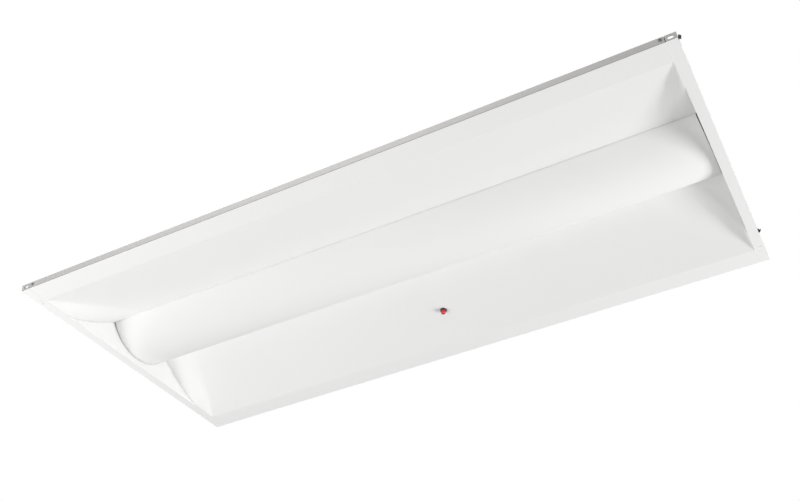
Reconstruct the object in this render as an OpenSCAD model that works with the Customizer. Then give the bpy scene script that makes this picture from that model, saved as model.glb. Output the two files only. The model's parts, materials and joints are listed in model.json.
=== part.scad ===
// Recessed ceiling troffer with two sloping reflectors, a bowed centre lens and an emergency test switch.
// Millimetres. +Z is up as installed, so the lit face looks down. X runs along the lens, Y across it.
// The origin is the centre of the face plane, where the flange rests on the ceiling grid.

/* [Face and rim] */
// Length of the face along the ceiling grid
face_l = 1213; // [1150:1:1800]
// Width of the face across the ceiling grid
face_w = 603; // [560:1:700]
// Height of the upturned rim
rim_h = 13; // [12:0.5:18]
// Flat flange along each long side
side_flange_w = 43; // [30:1:60]
// Flat flange at each end
end_flange_w = 17; // [16:0.5:24]
// Sheet steel of the reflectors and end plates
sheet_t = 0.8; // [0.6:0.1:1.2]
// Lean of each end wall towards the middle in degrees
end_lean = 4; // [0:0.5:6]

/* [Reflectors] */
// Height of the reflector's inner edge beside the lens
lens_edge_z = 51.6; // [46:0.2:56]
// Rise of the reflector's middle above a straight slope
reflector_bow = 2; // [0:0.5:4]
// Length of the scooped end where it meets the lens
scoop_l = 81; // [40:1:120]
// Width beside the side flange where the scooped end lies level with the face
scoop_level_w = 53; // [20:1:80]
// Height of the reflector's inner upright above its lens edge
upright_h = 22.4; // [20:0.2:26]

/* [Housing channel] */
// Height of the channel's top above the face
housing_h = 92; // [90:1:110]
// Sheet steel of the channel and the gear tray
gear_sheet_t = 1; // [0.8:0.1:1.5]
// Screws along each side of the channel
side_screw_count = 4; // [3:1:6]
// Radius of the conduit entries
entry_r = 11.1; // [9:0.1:14]
// Distance between neighbouring conduit entries
entry_pitch = 60; // [45:1:80]
// Height of the underside of the gear tray
tray_z = 60; // [59:0.5:62]

/* [Lens] */
// Width of the lens across its two edges
lens_w = 161.2; // [140:0.2:180]
// Depth of the lens bow below its edges
lens_depth = 40.4; // [30:0.2:42]
// Wall of the lens
lens_t = 2; // [1.5:0.1:3]
// Gap between an end of the lens and the end wall at the height of the lens edges
lens_end_gap = 3; // [3:0.5:20]
// Thickness of the plate that closes each end of the lens
lens_cap_t = 1.5; // [1:0.1:3]
// Radius of the pivot stubs on the end caps
lens_pivot_r = 1.5; // [1:0.1:1.8]
// Spring catches along the free edge of the lens
catch_count = 3; // [2:1:6]

/* [Light boards] */
// Width of a light board
board_w = 24; // [18:1:28]
// Thickness of a light board
board_t = 1.6; // [1:0.1:2]
// Distance from the middle of the fixture to the middle of a board
board_y = 32; // [26:1:34]
// Distance between neighbouring light chips
chip_pitch = 32; // [24:1:50]

/* [Test switch] */
// Place of the test switch along the fixture
switch_x = 10; // [-200:5:200]
// Place of the test switch across the fixture
switch_y = 178.5; // [150:0.5:220]
// Radius of the switch collar
collar_r = 6.5; // [6:0.1:9]
// Radius of the button cap
button_r = 4.6; // [4:0.1:5]
// Height of the button cap below its collar
button_proud = 5.5; // [3:0.5:8]
// Travel of the button
button_travel = 2; // [1:0.1:2.5]

/* [Grid clips] */
// Reach of a clip from its pivot to its nose
clip_reach = 17.8; // [16.5:0.1:22]
// Width of a clip arm
clip_w = 5; // [4:0.5:6]
// Thickness of the clip's spring strip
clip_t = 1; // [0.8:0.1:1.4]
// Turn of a clip arm away from square to the end, in degrees
clip_turn = 45; // [35:1:48]

/* [Gear] */
// Length of the driver
driver_l = 280; // [200:5:300]
// Width of the driver
driver_w = 42; // [30:1:46]
// Space between the driver's cover and the channel's top
driver_room = 4.7; // [3:0.1:10]
// Length of the battery pack
battery_l = 270; // [200:5:300]
// Width of the battery pack
battery_w = 48; // [44:1:54]
// Space between the battery pack's cover and the channel's top
battery_room = 3.7; // [2:0.1:8]
// Space in the battery pack above its cells
cell_room = 6; // [4:0.5:9]
// Length of a battery cell
cell_l = 50; // [40:1:55]
// Space in the battery pack beside its cells
cell_side_room = 4; // [2:0.5:6]
// Wall of the driver and battery cases
case_t = 1; // [0.8:0.1:1.4]
// Radius of an insulated lead
lead_r = 1.1; // [0.8:0.1:1.3]

/* [Access plate] */
// Length of the access plate along the channel
access_l = 134; // [110:1:160]
// Width of the access plate
access_w = 96; // [80:1:120]
// Radius of the access plate's hinge pin
access_pin_r = 1.2; // [1:0.1:1.5]

/* [Fits] */
// Clearance between neighbouring sheets
sheet_gap = 0.3; // [0.2:0.05:0.5]
// Radial clearance of a pin that turns in a hole
pivot_fit = 0.06; // [0.03:0.01:0.1]
// Radial clearance of a screw or rivet in its hole
screw_fit = 0.2; // [0.1:0.05:0.4]
// Gap between the lens edge and the reflector edge
lens_gap = 0.4; // [0.3:0.05:1]

/* [Hidden] */

$fn = 48;
half_l = face_l / 2;
half_w = face_w / 2;
eps = 0.1;
far = 400;

// Inner corners of the face, where the flanges end and the reflectors and end walls begin
end_in_x = half_l - end_flange_w;
side_in_y = half_w - side_flange_w;

// Inner edge of a reflector and the slope between it and the side flange
edge_y = lens_w / 2 + lens_gap;
slope_w = side_in_y - edge_y;
slope_angle = atan(lens_edge_z / slope_w);
upright_top = lens_edge_z + upright_h;
level_share = scoop_level_w / slope_w;
crease_lead = 3;
slope_rows = 14;
scoop_steps = 8;

// Channel walls stand just outside the reflectors' uprights and the tray just inside them
channel_in_y = edge_y + sheet_t + sheet_gap;
channel_out_y = channel_in_y + gear_sheet_t;
channel_foot_z = lens_edge_z + 3;
tray_out_y = edge_y - sheet_gap;
tray_top = tray_z + gear_sheet_t;
tray_flange_h = 13;
tray_half_l = end_in_x - 17.5;
side_screw_z = tray_top + 5;
side_screw_end = 122;

// Corner rivets and the lap ears behind the side rims
rivet_r = 1.6;
rivet_head_r = 3;
rivet_head_h = 0.8;
rivet_tail_r = 2.4;
rivet_bore_r = 1;
rivet_x = half_l - 24.3;
rivet_z = 8;
ear_gap = 0.2;
ear_l = 15;

// Oblong tie wire slots in the end plates' wrapped corners
slot_x = half_l - 9.5;
slot_z = 6.1;
slot_l = 9;
slot_w = 5.5;

// Clip pivots, one beside a corner and one set in from the other corner of each end plate
clip_x = end_in_x + 8;
clip_rise = 5;
clip_z = sheet_t + clip_rise;
clip_hub_r = 4.6;
stud_r = 2;
stud_head_r = 3.6;
stud_head_h = 0.8;
stud_shoulder_r = 3.2;
corner_clip_in = 16.5;
corner_clip_y = half_w - corner_clip_in;
inset_clip_in = 99.5;
inset_clip_y = half_w - inset_clip_in;
dip_in = 5;
dip_out = 2.6;
dip_h = 4;
nose_h = 2;
clip_slot_h = clip_z + clip_t + 1.2;
tab_slit_w = 0.9;
tab_slit_x = half_l - 10.5;
tab_slit_in = 49.5;
tab_slit_y = half_w - tab_slit_in;
tab_slit_l = 15;

// Lens arc through its two edges and its lowest line
lens_edge_drop = 0.7;
lens_half_w = lens_w / 2;
lens_rim_z = lens_edge_z - lens_edge_drop;
lens_r = (lens_depth * lens_depth + lens_half_w * lens_half_w) / (2 * lens_depth);
lens_centre_z = lens_rim_z - lens_depth + lens_r;
lens_half_l = wall_x(lens_rim_z) - lens_end_gap;
// The ends of the bow lean with the end walls, and come nearer to them at its bottom
lens_low_step = 2.2;
lens_low_l = lens_half_l + lens_low_step + lens_depth * tan(end_lean);
lip_t = 1.4;
lip_top = lens_rim_z + 4.6;
glue_gap = 0.15;
cap_skirt_l = 6;
cap_skirt_t = 1.5;

// Lens pivot line, a little inside the far edge and level with its outer corner
pivot_y = lens_half_w - 5.1;
pivot_z = lens_rim_z - 0.4;
bracket_gap = 0.8;
bracket_x = lens_half_l + bracket_gap;
bracket_t = 0.8;
pivot_out = 0.8;
bracket_w = 8;
bracket_foot_l = 20;

// Light boards under the tray, two in line on each side
board_gap = 6;
board_l = tray_half_l - 9 - board_gap / 2;
chip_count = floor((board_l - chip_pitch / 2) / chip_pitch);
chip_size = [3.5, 3, 0.8];
board_screw_r = 1.4;
board_screw_spots = [1, floor(chip_count / 2) + 1, chip_count];
connector_size = [10, 8, 4.5];
connector_in = 6;
connector_side = 2.5;
connector_ways = [2.4, 5.6];
connector_way_l = 3;
connector_z = tray_z - board_t - connector_size[2] / 2;
grommet_r = 8;
grommet_hole_r = 5.4;

// Gear above the tray
gear_y = board_y + board_w / 2 + 6;
gear_top = housing_h - gear_sheet_t - tray_top - case_t - sheet_gap;
driver_h = gear_top - driver_room;
battery_h = gear_top - battery_room;
cell_gap = 2;
// Two cells side by side, as large as the pack's height and width allow
cell_r = min(battery_h - case_t - cell_room, (battery_w - cell_gap) / 2 - case_t - cell_side_room) / 2;
battery_back = 242;
battery_x = -tray_half_l + battery_back;
gear_screw_r = 1.9;
gear_foot = 14;
terminal_size = [36, 30, 13];
lead_end_gap = 0.1;

// Access plate over its cutout in the channel's top
access_back = 240;
access_x = tray_half_l - access_back;
access_z = housing_h + sheet_gap;
access_knuckle_r = 2.6;
hinge_z = access_z + access_knuckle_r;
hinge_half_w = 25;
knuckle_w = 17;
cutout_l = access_l - 24;
cutout_w = access_w - 16;
access_screw_x = access_x + access_l - 6;
terminal_x = access_x + access_l / 2 - terminal_size[0] / 2;
driver_lap = 8;
driver_x = access_x + driver_lap - driver_l;

// Conduit entries in the channel's top
entry_back = 172;
entry_x = -tray_half_l + entry_back;
ground_y = gear_y + 2;
plug_gap = 0.15;
bushing_x = switch_x - 30;
bushing_z = (upright_top + housing_h) / 2;
bushing_hole_r = 4.2;

// Switch frame on the far reflector's visible face
switch_s = (side_in_y - switch_y) / slope_w;
switch_tilt = atan((lens_edge_z + 4 * reflector_bow * (1 - 2 * switch_s)) / slope_w);
collar_h = 3.5;
seat_gap = 0.05;
thread_r = 5;
nut_r = 8;
nut_h = 2.5;
stem_r = 2.4;
stem_head_r = 3.6;
recess_floor = -0.2;
cavity_r = 4;
cavity_floor = 1.8;
body_top = 10;
base_h = 2.5;
spring_r = 3;
spring_wire_r = 0.3;
spring_turns = 5;
switch_top = body_top + base_h + 5;

// Height of the reflector's visible face at share s of the way from the flange to the lens
function reflector_z(s) = lens_edge_z * s + 4 * reflector_bow * s * (1 - s);

// Share of the drop at share t of the scoop's length: slow at the crease and at the end wall
function scoop_share(t) = t * t * (3 - 2 * t);

// Height of the same face where the scooped end meets the end wall
function scoop_end_z(s) = s <= level_share ? 0
    : lens_edge_z * pow((s - level_share) / (1 - level_share), 1.5);

// Height of the scooped face at share t of the way from its crease to the end wall
function scooped_z(s, t) = reflector_z(s) - (reflector_z(s) - scoop_end_z(s)) * scoop_share(t);

function wall_x(z) = end_in_x - z * tan(end_lean);
function crease_x(s) = end_in_x - crease_lead - scoop_l * s;
function reflector_x(s, t, end_z) = crease_x(s) + t * (wall_x(end_z) - sheet_gap - crease_x(s));

// Visible face of a reflector across one station, from the rim's top to the upright's top
function face_row(side, t) = concat(
    [for (z = [rim_h, 0]) [side * reflector_x(0, t, z), half_w, z]],
    [for (j = [0 : slope_rows]) let (s = j / slope_rows)
        [side * reflector_x(s, t, scoop_end_z(s)), side_in_y - s * slope_w, scooped_z(s, t)]],
    [[side * reflector_x(1, t, upright_top), edge_y, upright_top]]);

// Step from the visible face to the back of the sheet at each point of a station
back_steps = concat(
    [[0, -sheet_t, 0], [0, -sheet_t, sheet_t]],
    [for (j = [0 : slope_rows - 1]) [0, 0, sheet_t / cos(slope_angle)]],
    [[0, sheet_t, sheet_t * (1 / cos(slope_angle) - tan(slope_angle))], [0, sheet_t, 0]]);

function station_side(i) = i <= scoop_steps ? -1 : 1;
function station_share(i) = i <= scoop_steps ? 1 - i / scoop_steps : (i - scoop_steps - 1) / scoop_steps;
function split(a, b, c, d) = [[a, b, c], [a, c, d]];
function flat_list(lists) = [for (part = lists) for (item = part) item];

// A sheet with a front and a back grid of points, closed along its four edges
module closed_sheet(front, back) {
    n = len(front);
    k = len(front[0]);
    count = n * k;
    function f(i, j) = i * k + j;
    function b(i, j) = count + i * k + j;
    front_faces = [for (i = [0 : n - 2]) for (j = [0 : k - 2])
        split(f(i, j), f(i, j + 1), f(i + 1, j + 1), f(i + 1, j))];
    back_faces = [for (i = [0 : n - 2]) for (j = [0 : k - 2])
        split(b(i, j), b(i + 1, j), b(i + 1, j + 1), b(i, j + 1))];
    long_faces = [for (i = [0 : n - 2]) concat(
        split(f(i, 0), f(i + 1, 0), b(i + 1, 0), b(i, 0)),
        split(f(i + 1, k - 1), f(i, k - 1), b(i, k - 1), b(i + 1, k - 1)))];
    end_faces = [for (j = [0 : k - 2]) concat(
        split(f(0, j + 1), f(0, j), b(0, j), b(0, j + 1)),
        split(f(n - 1, j), f(n - 1, j + 1), b(n - 1, j + 1), b(n - 1, j)))];
    polyhedron(
        points = concat(flat_list(front), flat_list(back)),
        faces = flat_list(concat(front_faces, back_faces, long_faces, end_faces)));
}

function unit(v) = v / norm(v);
function tangent(p, i) = unit(p[min(i + 1, len(p) - 1)] - p[max(i - 1, 0)]);
function square_to(n, t) = unit(n - t * (n * t));
function ring_normals(p, i, n) = i == len(p) ? []
    : let (m = square_to(n, tangent(p, i))) concat([m], ring_normals(p, i + 1, m));

// One span of a smooth curve from b to c, whose neighbours are a and d
function heading(a, b, c) = unit(unit(b - a) + unit(c - b));
function span_point(a, b, c, d, u) = let (from = heading(a, b, c), to = heading(b, c, d))
    b + (c - b) * u * u * (3 - 2 * u) + norm(c - b) * u * (1 - u) * (from * (1 - u) - to * u);
function smooth_route(p, steps) = let (last = len(p) - 1) concat(
    [for (i = [0 : last - 1]) for (k = [0 : steps - 1])
        span_point(i == 0 ? 2 * p[0] - p[1] : p[i - 1], p[i], p[i + 1],
            i == last - 1 ? 2 * p[last] - p[i] : p[i + 2], k / steps)],
    [p[last]]);

// A round wire swept along a list of points
module tube(p, r, sides) {
    n = len(p);
    normals = ring_normals(p, 0, abs(tangent(p, 0)[2]) > 0.9 ? [1, 0, 0] : [0, 0, 1]);
    points = [for (i = [0 : n - 1]) let (side = cross(tangent(p, i), normals[i]))
        for (j = [0 : sides - 1]) let (a = 360 * j / sides)
            p[i] + r * (cos(a) * normals[i] + sin(a) * side)];
    walls = flat_list([for (i = [0 : n - 2]) for (j = [0 : sides - 1]) let (k = (j + 1) % sides)
        split(i * sides + j, (i + 1) * sides + j, (i + 1) * sides + k, i * sides + k)]);
    ends = [[for (j = [0 : sides - 1]) j], [for (j = [sides - 1 : -1 : 0]) (n - 1) * sides + j]];
    polyhedron(points = points, faces = concat(walls, ends));
}

module lead(p) { tube(smooth_route(p, 5), lead_r, 8); }

// Three points in line along X, so that a lead starts or ends square to a wall
function run_x(p, dx) = [for (u = [0, 0.4, 1]) p + [dx * u, 0, 0]];

// Cylinders along X and Y, from one end coordinate to the other
module rod_x(r, x0, x1) { translate([x0, 0, 0]) rotate([0, 90, 0]) cylinder(r = r, h = x1 - x0); }
module rod_y(r, y0, y1) { translate([0, y0, 0]) rotate([-90, 0, 0]) cylinder(r = r, h = y1 - y0); }

// A box between two corners
module span_box(a, b) { translate(a) cube(b - a); }

// Puts a right hand piece at both ends, turned half round so that both stampings are the same
module both_ends() { children(); rotate([0, 0, 180]) children(); }

// Puts a far side piece on both long sides
module both_sides() { children(); mirror([0, 1, 0]) children(); }

// Frame on an end wall: X through the wall, Z up along its lean
module on_wall() { translate([end_in_x, 0, 0]) rotate([0, -end_lean, 0]) children(); }

// Frame on the far reflector at the test switch: Z goes up through the sheet
module at_switch() {
    translate([switch_x, switch_y, reflector_z(switch_s)]) rotate([-switch_tilt, 0, 0]) children();
}

function side_screw_x(i) = -tray_half_l + side_screw_end
    + i * 2 * (tray_half_l - side_screw_end) / (side_screw_count - 1);

module at_side_screws() {
    for (i = [0 : side_screw_count - 1]) translate([side_screw_x(i), 0, side_screw_z]) children();
}

module at_corner_rivets() {
    for (x = [-rivet_x, rivet_x]) translate([x, 0, rivet_z]) children();
}

// Far reflector: rim, side flange, sloping face with scooped ends, and upright beside the lens
module reflector_sheet() {
    front = [for (i = [0 : 2 * scoop_steps + 1]) face_row(station_side(i), station_share(i))];
    back = [for (row = front) [for (j = [0 : len(row) - 1]) row[j] + back_steps[j]]];
    difference() {
        closed_sheet(front, back);
        at_corner_rivets() rod_y(rivet_r + screw_fit, half_w - 2, half_w + 1);
        at_side_screws() rod_y(gear_screw_r + screw_fit, edge_y - 1, edge_y + 2);
    }
}

module reflector_near() { color("whitesmoke") mirror([0, 1, 0]) reflector_sheet(); }

module reflector_far() {
    color("whitesmoke") difference() {
        reflector_sheet();
        at_switch() translate([0, 0, -3]) cylinder(r = thread_r + screw_fit, h = 8);
    }
}

// Right end plate: leaning wall, end flange, outer rim and corners wrapped round to the long sides
wall_peak_y = channel_out_y + 4;
end_screw_y = 45;
end_screw_drop = 8;
end_tab_half_w = 9;
end_screw_h = housing_h - end_screw_drop;

module end_plate() {
    difference() {
        union() {
            on_wall() rotate([90, 0, 90]) linear_extrude(sheet_t) polygon([
                [-half_w, 0], [half_w, 0], [half_w, rim_h], [side_in_y, rim_h + 4],
                [wall_peak_y + 8, upright_top - 6], [wall_peak_y, housing_h],
                [-wall_peak_y, housing_h], [-wall_peak_y - 8, upright_top - 6],
                [-side_in_y, rim_h + 4], [-half_w, rim_h]]);
            span_box([end_in_x, -half_w, 0], [half_l, half_w, sheet_t]);
            span_box([half_l - sheet_t, -half_w, 0], [half_l, half_w, rim_h]);
            both_sides() wrapped_corner();
        }
        for (side = [-1, 1]) translate([slot_x, side * half_w, slot_z]) tie_slot();
        for (y = [-end_screw_y, 0, end_screw_y]) on_wall() translate([0, y, end_screw_h])
            rod_x(gear_screw_r + screw_fit, -2, 3);
        both_sides() translate([rivet_x, 0, rivet_z]) rod_y(rivet_r + screw_fit, half_w - 4, half_w);
        translate([half_l, -corner_clip_y, sheet_t]) clip_slot(-1);
        translate([half_l, inset_clip_y, sheet_t]) clip_slot(1);
        tab_slit();
    }
}

// Corner strip on the long side, and the ear that laps behind the reflector's rim
module wrapped_corner() {
    ear_y = half_w - sheet_t - ear_gap;
    span_box([end_in_x, half_w - sheet_t, 0], [half_l, half_w, rim_h]);
    span_box([end_in_x - ear_l, ear_y - sheet_t, sheet_t + 0.4], [end_in_x + sheet_t, ear_y, rim_h - 1]);
}

// Oblong slot through a wrapped corner
module tie_slot() {
    reach = slot_l / 2 - slot_w / 2;
    for (x = [-reach, reach]) translate([x, 0, 0]) rod_y(slot_w / 2, -2, 2);
    span_box([-reach, -2, -slot_w / 2], [reach, 2, slot_w / 2]);
}

// Slot in the outer rim that a clip arm swings in, from its rest turn to square out
module clip_slot(turn) {
    swept = (half_l - clip_x) * tan(clip_turn) + clip_w / 2 / cos(clip_turn) + 1;
    low = turn > 0 ? -clip_w / 2 - 1 : -swept;
    high = turn > 0 ? swept : clip_w / 2 + 1;
    span_box([-sheet_t - eps, low, 0], [eps, high, clip_slot_h - sheet_t]);
}

// L shaped slit that leaves a bend out tab in the end flange
module tab_slit() {
    span_box([tab_slit_x, tab_slit_y, -1], [half_l + 1, tab_slit_y + tab_slit_w, 3]);
    span_box([tab_slit_x, tab_slit_y, -1], [tab_slit_x + tab_slit_w, tab_slit_y + tab_slit_l, sheet_t + 1]);
}

module end_plate_right() { color("whitesmoke") end_plate(); }
module end_plate_left() { color("whitesmoke") rotate([0, 0, 180]) end_plate(); }

// Inverted channel over the gear, open below, with end tabs for the end screws
module housing_channel() {
    color("lightgray") difference() {
        union() {
            difference() {
                span_box([-half_l, -channel_out_y, channel_foot_z], [half_l, channel_out_y, housing_h]);
                span_box([-half_l - 1, -channel_in_y, 0],
                    [half_l + 1, channel_in_y, housing_h - gear_sheet_t]);
                both_ends() on_wall() span_box([-sheet_gap, -far, -far], [far, far, far]);
            }
            both_ends() on_wall() for (y = [-end_screw_y, 0, end_screw_y])
                span_box([-sheet_gap - gear_sheet_t, y - end_tab_half_w, end_screw_h - end_screw_drop],
                    [-sheet_gap, y + end_tab_half_w, housing_h - gear_sheet_t / 2]);
        }
        both_ends() on_wall() for (y = [-end_screw_y, 0, end_screw_y]) translate([0, y, end_screw_h])
            rod_x(gear_screw_r + screw_fit, -5, 5);
        both_sides() at_side_screws() rod_y(gear_screw_r + screw_fit, edge_y, channel_out_y + 2);
        for (i = [0 : 2]) translate([entry_x - i * entry_pitch, 0, housing_h - 5])
            cylinder(r = entry_r, h = 10);
        translate([access_x + (access_l - cutout_l) / 2 - 4, -cutout_w / 2, housing_h - 5])
            cube([cutout_l, cutout_w, 10]);
        translate([access_screw_x, 0, housing_h - 5]) cylinder(r = gear_screw_r + 2 * screw_fit, h = 10);
        translate([bushing_x, 0, bushing_z]) rod_y(bushing_hole_r, channel_in_y - 2, channel_out_y + 2);
    }
}

// Blind rivets through the side rims and the ears behind them
module corner_rivets() {
    color("silver") both_sides() at_corner_rivets() difference() {
        union() {
            rod_y(rivet_head_r, half_w, half_w + rivet_head_h);
            rod_y(rivet_r, half_w - 3.2, half_w + rivet_head_h / 2);
            rod_y(rivet_tail_r, half_w - 4.2, half_w - 2 * sheet_t - ear_gap);
        }
        rod_y(rivet_bore_r, half_w - 2, half_w + 2);
    }
}

// Cross recessed pan head screw that points along -X, with its head's seat at the origin
module pan_screw(length, shank_r = gear_screw_r, head_r = 4, head_h = 2.2) {
    cross_l = 0.75 * head_r;
    cross_w = 0.1 * head_r;
    difference() {
        rod_x(head_r, 0, head_h);
        span_box([head_h / 2, -cross_l, -cross_w], [head_h + 1, cross_l, cross_w]);
        span_box([head_h / 2, -cross_w, -cross_l], [head_h + 1, cross_w, cross_l]);
    }
    rod_x(shank_r, -length, eps);
}

module end_screws() {
    color("silver") both_ends() on_wall() for (y = [-end_screw_y, 0, end_screw_y])
        translate([sheet_t, y, end_screw_h]) pan_screw(7);
}

module side_screws() {
    color("silver") both_sides() at_side_screws()
        translate([0, channel_out_y, 0]) rotate([0, 0, 90]) pan_screw(6);
}

// Snap plugs in the two spare conduit entries
module entry_plugs() {
    color("gray") for (i = [1, 2]) translate([entry_x - i * entry_pitch, 0, housing_h]) difference() {
        union() {
            cylinder(r = entry_r + 2, h = 1.2);
            translate([0, 0, -4]) cylinder(r = entry_r - plug_gap, h = 4.5);
        }
        translate([0, 0, -5]) cylinder(r = entry_r - 1.6, h = 5);
    }
}

// Insulating bushing where the switch leads enter the channel
module lead_bushing() {
    color("black") translate([bushing_x, 0, bushing_z]) difference() {
        union() {
            rod_y(bushing_hole_r + 1.8, channel_out_y, channel_out_y + 1.5);
            rod_y(bushing_hole_r - plug_gap, channel_in_y - 1, channel_out_y + 0.5);
        }
        rod_y(bushing_hole_r - 1.1, channel_in_y - 3, channel_out_y + 3);
    }
}

// Outline of a clip's arm from the side: level, then down into a V and up to the nose
fall_slope = (dip_in - dip_out) / dip_h;
rise_slope = dip_out / (dip_h + nose_h);
fall_t = clip_t * sqrt(1 + fall_slope * fall_slope);
rise_t = clip_t * sqrt(1 + rise_slope * rise_slope);
arm_l = clip_reach - dip_in;
valley_z = (arm_l + fall_t - (clip_reach - dip_out) + rise_t - rise_slope * dip_h)
    / (fall_slope + rise_slope);
clip_side = [[0, 0], [arm_l, 0], [clip_reach - dip_out, -dip_h], [clip_reach, nose_h],
    [clip_reach - rise_t, nose_h], [arm_l + fall_t - fall_slope * valley_z, valley_z],
    [arm_l + fall_t - fall_slope * clip_t, clip_t], [0, clip_t]];

// Grid clip about its pivot: hub, and an arm along +X that ends in a V
module grid_clip(turn) {
    rotate([0, 0, turn]) difference() {
        union() {
            cylinder(r = clip_hub_r, h = clip_t);
            translate([0, clip_w / 2, 0]) rotate([90, 0, 0]) linear_extrude(clip_w) polygon(clip_side);
        }
        translate([0, 0, -1]) cylinder(r = stud_r + pivot_fit, h = clip_t + 2);
    }
}

module corner_clip() { translate([clip_x, -corner_clip_y, clip_z]) grid_clip(-clip_turn); }
module inset_clip() { translate([clip_x, inset_clip_y, clip_z]) grid_clip(clip_turn); }
module clip_near_right() { color("black") corner_clip(); }
module clip_far_right() { color("black") inset_clip(); }
module clip_near_left() { color("black") rotate([0, 0, 180]) inset_clip(); }
module clip_far_left() { color("black") rotate([0, 0, 180]) corner_clip(); }

// Headed studs that stand on the end flanges and carry the clips
module clip_pivot_studs() {
    head_z = clip_z + clip_t + 0.2;
    color("silver") both_ends() for (y = [-corner_clip_y, inset_clip_y]) translate([clip_x, y, 0]) {
        translate([0, 0, sheet_t]) cylinder(r = stud_r, h = head_z - sheet_t + eps);
        translate([0, 0, sheet_t]) cylinder(r = stud_shoulder_r, h = clip_z - sheet_t - sheet_gap);
        translate([0, 0, head_z]) cylinder(r = stud_head_r, h = stud_head_h);
    }
}

// Everything between two radii of the lens arc, as long as the lens and cut off above the rim line
module lens_arc(outer, inner, half_length, half_width, top) {
    intersection() {
        difference() {
            translate([0, 0, lens_centre_z]) rod_x(outer, -half_length, half_length, $fn = 180);
            translate([0, 0, lens_centre_z]) rod_x(inner, -half_length - 1, half_length + 1, $fn = 180);
        }
        span_box([-half_length, -half_width, -1], [half_length, half_width, top]);
    }
}

// The lens seen from the side: longest at the bottom of its bow
module lens_side() {
    low_z = lens_rim_z - lens_depth;
    translate([0, lens_half_w + 1, 0]) rotate([90, 0, 0]) linear_extrude(lens_w + 2) polygon([
        [-lens_low_l, low_z - 1], [lens_low_l, low_z - 1], [lens_low_l, low_z],
        [lens_half_l, lens_rim_z], [lens_half_l, lip_top + 1], [-lens_half_l, lip_top + 1],
        [-lens_half_l, lens_rim_z], [-lens_low_l, low_z]]);
}

// Bowed diffuser with an upright lip along each edge
module lens() {
    color("white") {
        intersection() {
            lens_arc(lens_r, lens_r - lens_t, lens_low_l, lens_half_w, lens_rim_z + lens_t);
            lens_side();
        }
        both_sides() span_box([-lens_half_l, lens_half_w - lip_t, lens_rim_z + 0.5],
            [lens_half_l, lens_half_w, lip_top]);
    }
}

// Plate with a skirt that closes one end of the lens and carries its pivot stub
module lens_cap(side) {
    cap_r = lens_r - lens_t - glue_gap;
    cap_half_w = lens_half_w - lip_t - glue_gap;
    inner_x = lens_half_l - lens_cap_t;
    pin_end = bracket_x + bracket_t + pivot_out;
    intersection() {
        translate([0, 0, lens_centre_z]) difference() {
            rod_x(cap_r, inner_x - cap_skirt_l, lens_half_l, $fn = 180);
            rod_x(cap_r - cap_skirt_t, 0, inner_x, $fn = 180);
        }
        span_box([0, -cap_half_w, 0], [lens_half_l + 1, cap_half_w, lip_top]);
    }
    translate([0, side * pivot_y, pivot_z]) rod_x(lens_pivot_r, inner_x + eps, pin_end);
}

module lens_cap_right() { color("white") lens_cap(1); }
module lens_cap_left() { color("white") rotate([0, 0, 180]) lens_cap(-1); }

// Angle brackets on the tray's ends that hold the lens pivots
module lens_pivot_brackets() {
    leg_w = bracket_w / 2 - sheet_gap;
    color("white") for (end = [0, 1]) mirror([end, 0, 0]) translate([0, pivot_y, 0])
        difference() {
            union() {
                span_box([tray_half_l - bracket_foot_l, -leg_w, tray_top],
                    [bracket_x + bracket_t, leg_w, tray_top + bracket_t]);
                span_box([bracket_x, -leg_w, pivot_z],
                    [bracket_x + bracket_t, leg_w, tray_top + bracket_t]);
                translate([0, 0, pivot_z]) rod_x(leg_w, bracket_x, bracket_x + bracket_t);
            }
            translate([0, 0, pivot_z])
                rod_x(lens_pivot_r + pivot_fit, bracket_x - 1, bracket_x + bracket_t + 1);
        }
}

function catch_x(i) = -tray_half_l / 3 * 2 + i * (tray_half_l / 3 * 4) / (catch_count - 1);

// Leaf springs under the tray that grip the lens lip on its free side
module lens_catches() {
    leaf_t = 0.6;
    leaf_y = -(lens_half_w - lip_t - sheet_gap);
    color("silver") for (i = [0 : catch_count - 1]) translate([catch_x(i), leaf_y, 0]) {
        span_box([-8, 0, lens_rim_z + 2], [8, leaf_t, tray_z]);
        span_box([-8, 0, tray_z - leaf_t], [8, 12, tray_z]);
        translate([0, leaf_t, lens_rim_z + 3]) rod_x(0.7, -8, 8);
    }
}

module gear_screw_hole() { translate([0, 0, -3]) cylinder(r = gear_screw_r + screw_fit, h = 5); }

// White gear tray across the fixture, with an upright flange along each side
module gear_tray() {
    color("white") difference() {
        union() {
            span_box([-tray_half_l, -tray_out_y, tray_z], [tray_half_l, tray_out_y, tray_top]);
            both_sides() span_box([-tray_half_l, tray_out_y - gear_sheet_t, tray_z],
                [tray_half_l, tray_out_y, tray_z + tray_flange_h]);
        }
        both_sides() at_side_screws() rod_y(gear_screw_r + screw_fit, tray_out_y - 3, tray_out_y + 2);
        at_board_screws() translate([0, 0, tray_z - 1]) cylinder(r = board_screw_r + screw_fit, h = 4);
        translate([0, 0, tray_z - 1]) cylinder(r = grommet_r - 1.5 + plug_gap, h = 4);
        at_gear_screws(driver_x, driver_l, -gear_y) gear_screw_hole();
        at_gear_screws(battery_x, battery_l, gear_y) gear_screw_hole();
        at_ground_screw() gear_screw_hole();
    }
}

// Puts a piece at the inner lower corner of each board, with X running outwards
module at_boards() {
    for (end = [0, 1]) for (y = [-board_y, board_y])
        mirror([end, 0, 0]) translate([board_gap / 2, y, tray_z - board_t]) children();
}

module at_board_screws() {
    for (end = [0, 1]) for (y = [-board_y, board_y]) for (k = board_screw_spots)
        mirror([end, 0, 0]) translate([board_gap / 2 + k * chip_pitch, y, 0]) children();
}

module light_boards() {
    color("white") difference() {
        at_boards() translate([0, -board_w / 2, 0]) cube([board_l, board_w, board_t]);
        at_board_screws() translate([0, 0, tray_z - 4]) cylinder(r = board_screw_r + screw_fit, h = 8);
    }
}

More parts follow.
